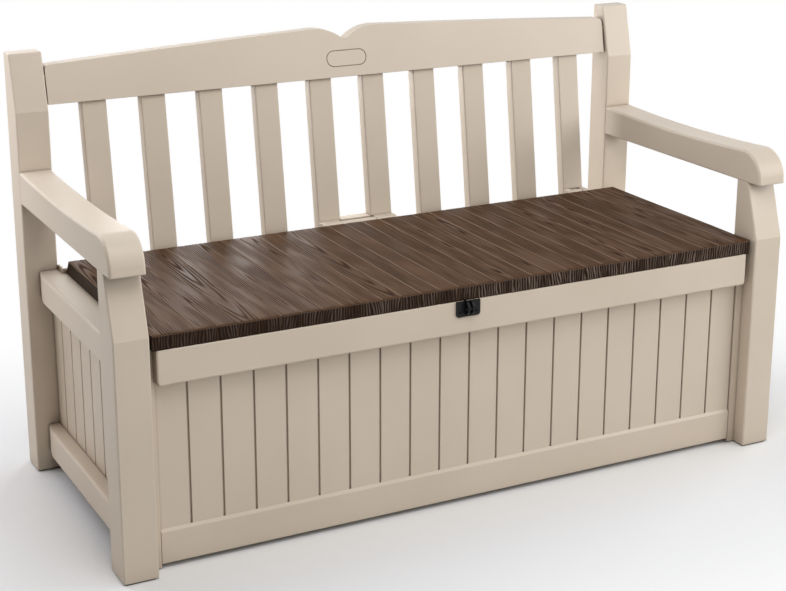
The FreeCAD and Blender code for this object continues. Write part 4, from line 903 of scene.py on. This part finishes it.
crossHeads = screwTree()
makeScrews(crossHeads, "hingeScrews", "hinge_screws", (0.0, 0.0, -1.0), "lid_assembly", zinc)
makeScrews(crossHeads, "lugScrews", "lid_lug_screws", (0.0, 0.0, -1.0), "lid_assembly", zinc)
makeScrews(crossHeads, "lockScrews", "lock_plate_screws", (0.0, -1.0, 0.0), "bench_frame", blackSteel)
makeScrews(crossHeads, "backScrews", "back_panel_screws", (0.0, 1.0, 0.0), "bench_frame", zinc)


stageLook = {
    "floor": "#EAEAEA",
    "floorReach": 30.0,
    "footprint": (0.7, 0.3, 0.0),  # half of the bench's length and depth
    "fadeStart": 0.05,  # metres past the footprint, where the lit paper begins to turn plain white
    "fadeEnd": 0.75,
    "ambient": 0.065,
    "aim": (0.0, 0.0, 0.4),
    "lamps": {  # place, width and height in metres, watts, colour
        "overheadLamp": ((0.3, 0.2, 2.2), 1.2, 1.2, 9.8, "#DCE9FF"),
        "frontLamp": ((-0.4, -1.2, 2.2), 1.2, 1.2, 22.0, "#FFFFFF"),
        "centreLamp": ((-0.5, -2.6, 1.5), 1.2, 1.2, 8.6, "#FFFFFF"),
        "rightLamp": ((2.0, -1.6, 1.3), 1.2, 1.2, 26.5, "#FFFFFF"),
        "sideLamp": ((2.2, 0.0, 0.8), 1.2, 1.2, 16.0, "#FFFFFF"),
        "rearLamp": ((-0.8, 1.5, 1.6), 1.2, 1.2, 11.0, "#FFFFFF"),
        "leftLamp": ((-2.2, 0.7, 1.2), 1.2, 1.2, 4.2, "#FFEBD8"),
        "upperLamp": ((-1.3, 0.6, 1.05), 0.8, 0.8, 6.6, "#F4F7FF"),
        "sheenLamp": ((-0.1, 0.85, 0.74), 0.6, 0.3, 3.7, "#FFFFFF"),  # shows in the lid's gloss
    },
}


def seenDirectly(tree):  # 1 where the camera sees it, also through gloss or glass
    ray = addNode(tree, "ShaderNodeLightPath").outputs
    gloss = addNode(tree, "ShaderNodeMath", {"operation": "MAXIMUM"},
                    {0: ray["Is Glossy Ray"], 1: ray["Is Transmission Ray"]})
    seen = addNode(tree, "ShaderNodeMath", {"operation": "MAXIMUM"},
                   {0: ray["Is Camera Ray"], 1: gloss.outputs[0]})
    return seen.outputs[0]


def makeFloor():
    far = stageLook["floorReach"]
    mesh = bpy.data.meshes.new("studioFloor")
    mesh.from_pydata([(-far, -far, 0), (far, -far, 0), (far, far, 0), (-far, far, 0)], [], [(0, 1, 2, 3)])
    floor = newPiece("studioFloor", mesh)
    material, tree = newMaterial("matt_studio_paper")
    place = addNode(tree, "ShaderNodeTexCoord")
    folded = addNode(tree, "ShaderNodeVectorMath", {"operation": "ABSOLUTE"}, {0: place.outputs["Object"]})
    past = addNode(tree, "ShaderNodeVectorMath", {"operation": "SUBTRACT", 1: stageLook["footprint"]},
                   {0: folded.outputs[0]})
    beyond = addNode(tree, "ShaderNodeVectorMath", {"operation": "MAXIMUM"}, {0: past.outputs[0]})
    away = addNode(tree, "ShaderNodeVectorMath", {"operation": "LENGTH"}, {0: beyond.outputs[0]})
    fade = addNode(tree, "ShaderNodeMapRange",
                   {"interpolation_type": "SMOOTHSTEP", "From Min": stageLook["fadeStart"],
                    "From Max": stageLook["fadeEnd"]}, {"Value": away.outputs["Value"]})
    shown = addNode(tree, "ShaderNodeMath", {"operation": "MULTIPLY"},
                    {0: fade.outputs["Result"], 1: seenDirectly(tree)})
    paper = addNode(tree, "ShaderNodeBsdfDiffuse", {"Color": hexColour(stageLook["floor"])})
    white = addNode(tree, "ShaderNodeEmission", {"Color": (1, 1, 1, 1), "Strength": 1.0})
    mix = addNode(tree, "ShaderNodeMixShader", None,
                  {0: shown.outputs[0], 1: paper.outputs[0], 2: white.outputs[0]})
    addNode(tree, "ShaderNodeOutputMaterial", None, {"Surface": mix.outputs[0]})
    mesh.materials.append(material)


def makeWorld():
    world = bpy.data.worlds.new("paleStudio")
    world.use_nodes = True
    scene.world = world
    tree = world.node_tree
    tree.nodes.clear()
    soft = addNode(tree, "ShaderNodeBackground", {"Color": (1, 1, 1, 1), "Strength": stageLook["ambient"]})
    white = addNode(tree, "ShaderNodeBackground", {"Color": (1, 1, 1, 1), "Strength": 1.0})
    mix = addNode(tree, "ShaderNodeMixShader", None,
                  {0: seenDirectly(tree), 1: soft.outputs[0], 2: white.outputs[0]})
    addNode(tree, "ShaderNodeOutputWorld", None, {"Surface": mix.outputs[0]})


def addLamp(name, place, width, height, power, colour):
    lamp = bpy.data.lights.new(name, "AREA")
    lamp.shape = "RECTANGLE"
    lamp.size = width
    lamp.size_y = height
    lamp.energy = power
    lamp.color = hexColour(colour)[:3]
    holder = bpy.data.objects.new(name, lamp)
    holder.location = place
    holder.rotation_euler = (Vector(stageLook["aim"]) - Vector(place)).to_track_quat("-Z", "Y").to_euler()
    holder.visible_camera = False  # it lights the bench, but no white card shows behind it
    scene.collection.objects.link(holder)


makeFloor()
makeWorld()
for lampName, lampLook in stageLook["lamps"].items():
    addLamp(lampName, *lampLook)
print("stage lit")


cameraLook = {
    "eye": (-1.477, -2.8075, 1.382),
    "target": (-0.052, 0.0355, 0.444),
    "roll": -0.14,
    "lens": 76.35,  # millimetres, as is the sensor's width
    "sensor": 36.0,
    "shiftX": 0.0254,
    "shiftY": -0.066,
    "sight": 100.0,
}


def makeCamera():
    camera = bpy.data.cameras.new("photoCamera")
    camera.lens = cameraLook["lens"]
    camera.sensor_width = cameraLook["sensor"]
    camera.shift_x = cameraLook["shiftX"]
    camera.shift_y = cameraLook["shiftY"]
    camera.clip_end = cameraLook["sight"]
    holder = bpy.data.objects.new("photoCamera", camera)
    scene.collection.objects.link(holder)
    eye = Vector(cameraLook["eye"])
    aim = (Vector(cameraLook["target"]) - eye).to_track_quat("-Z", "Y")
    roll = Quaternion((0, 0, 1), math.radians(cameraLook["roll"]))
    holder.location = eye
    holder.rotation_euler = (aim @ roll).to_euler()
    scene.camera = holder


makeCamera()
scene.view_settings.view_transform = "Standard"
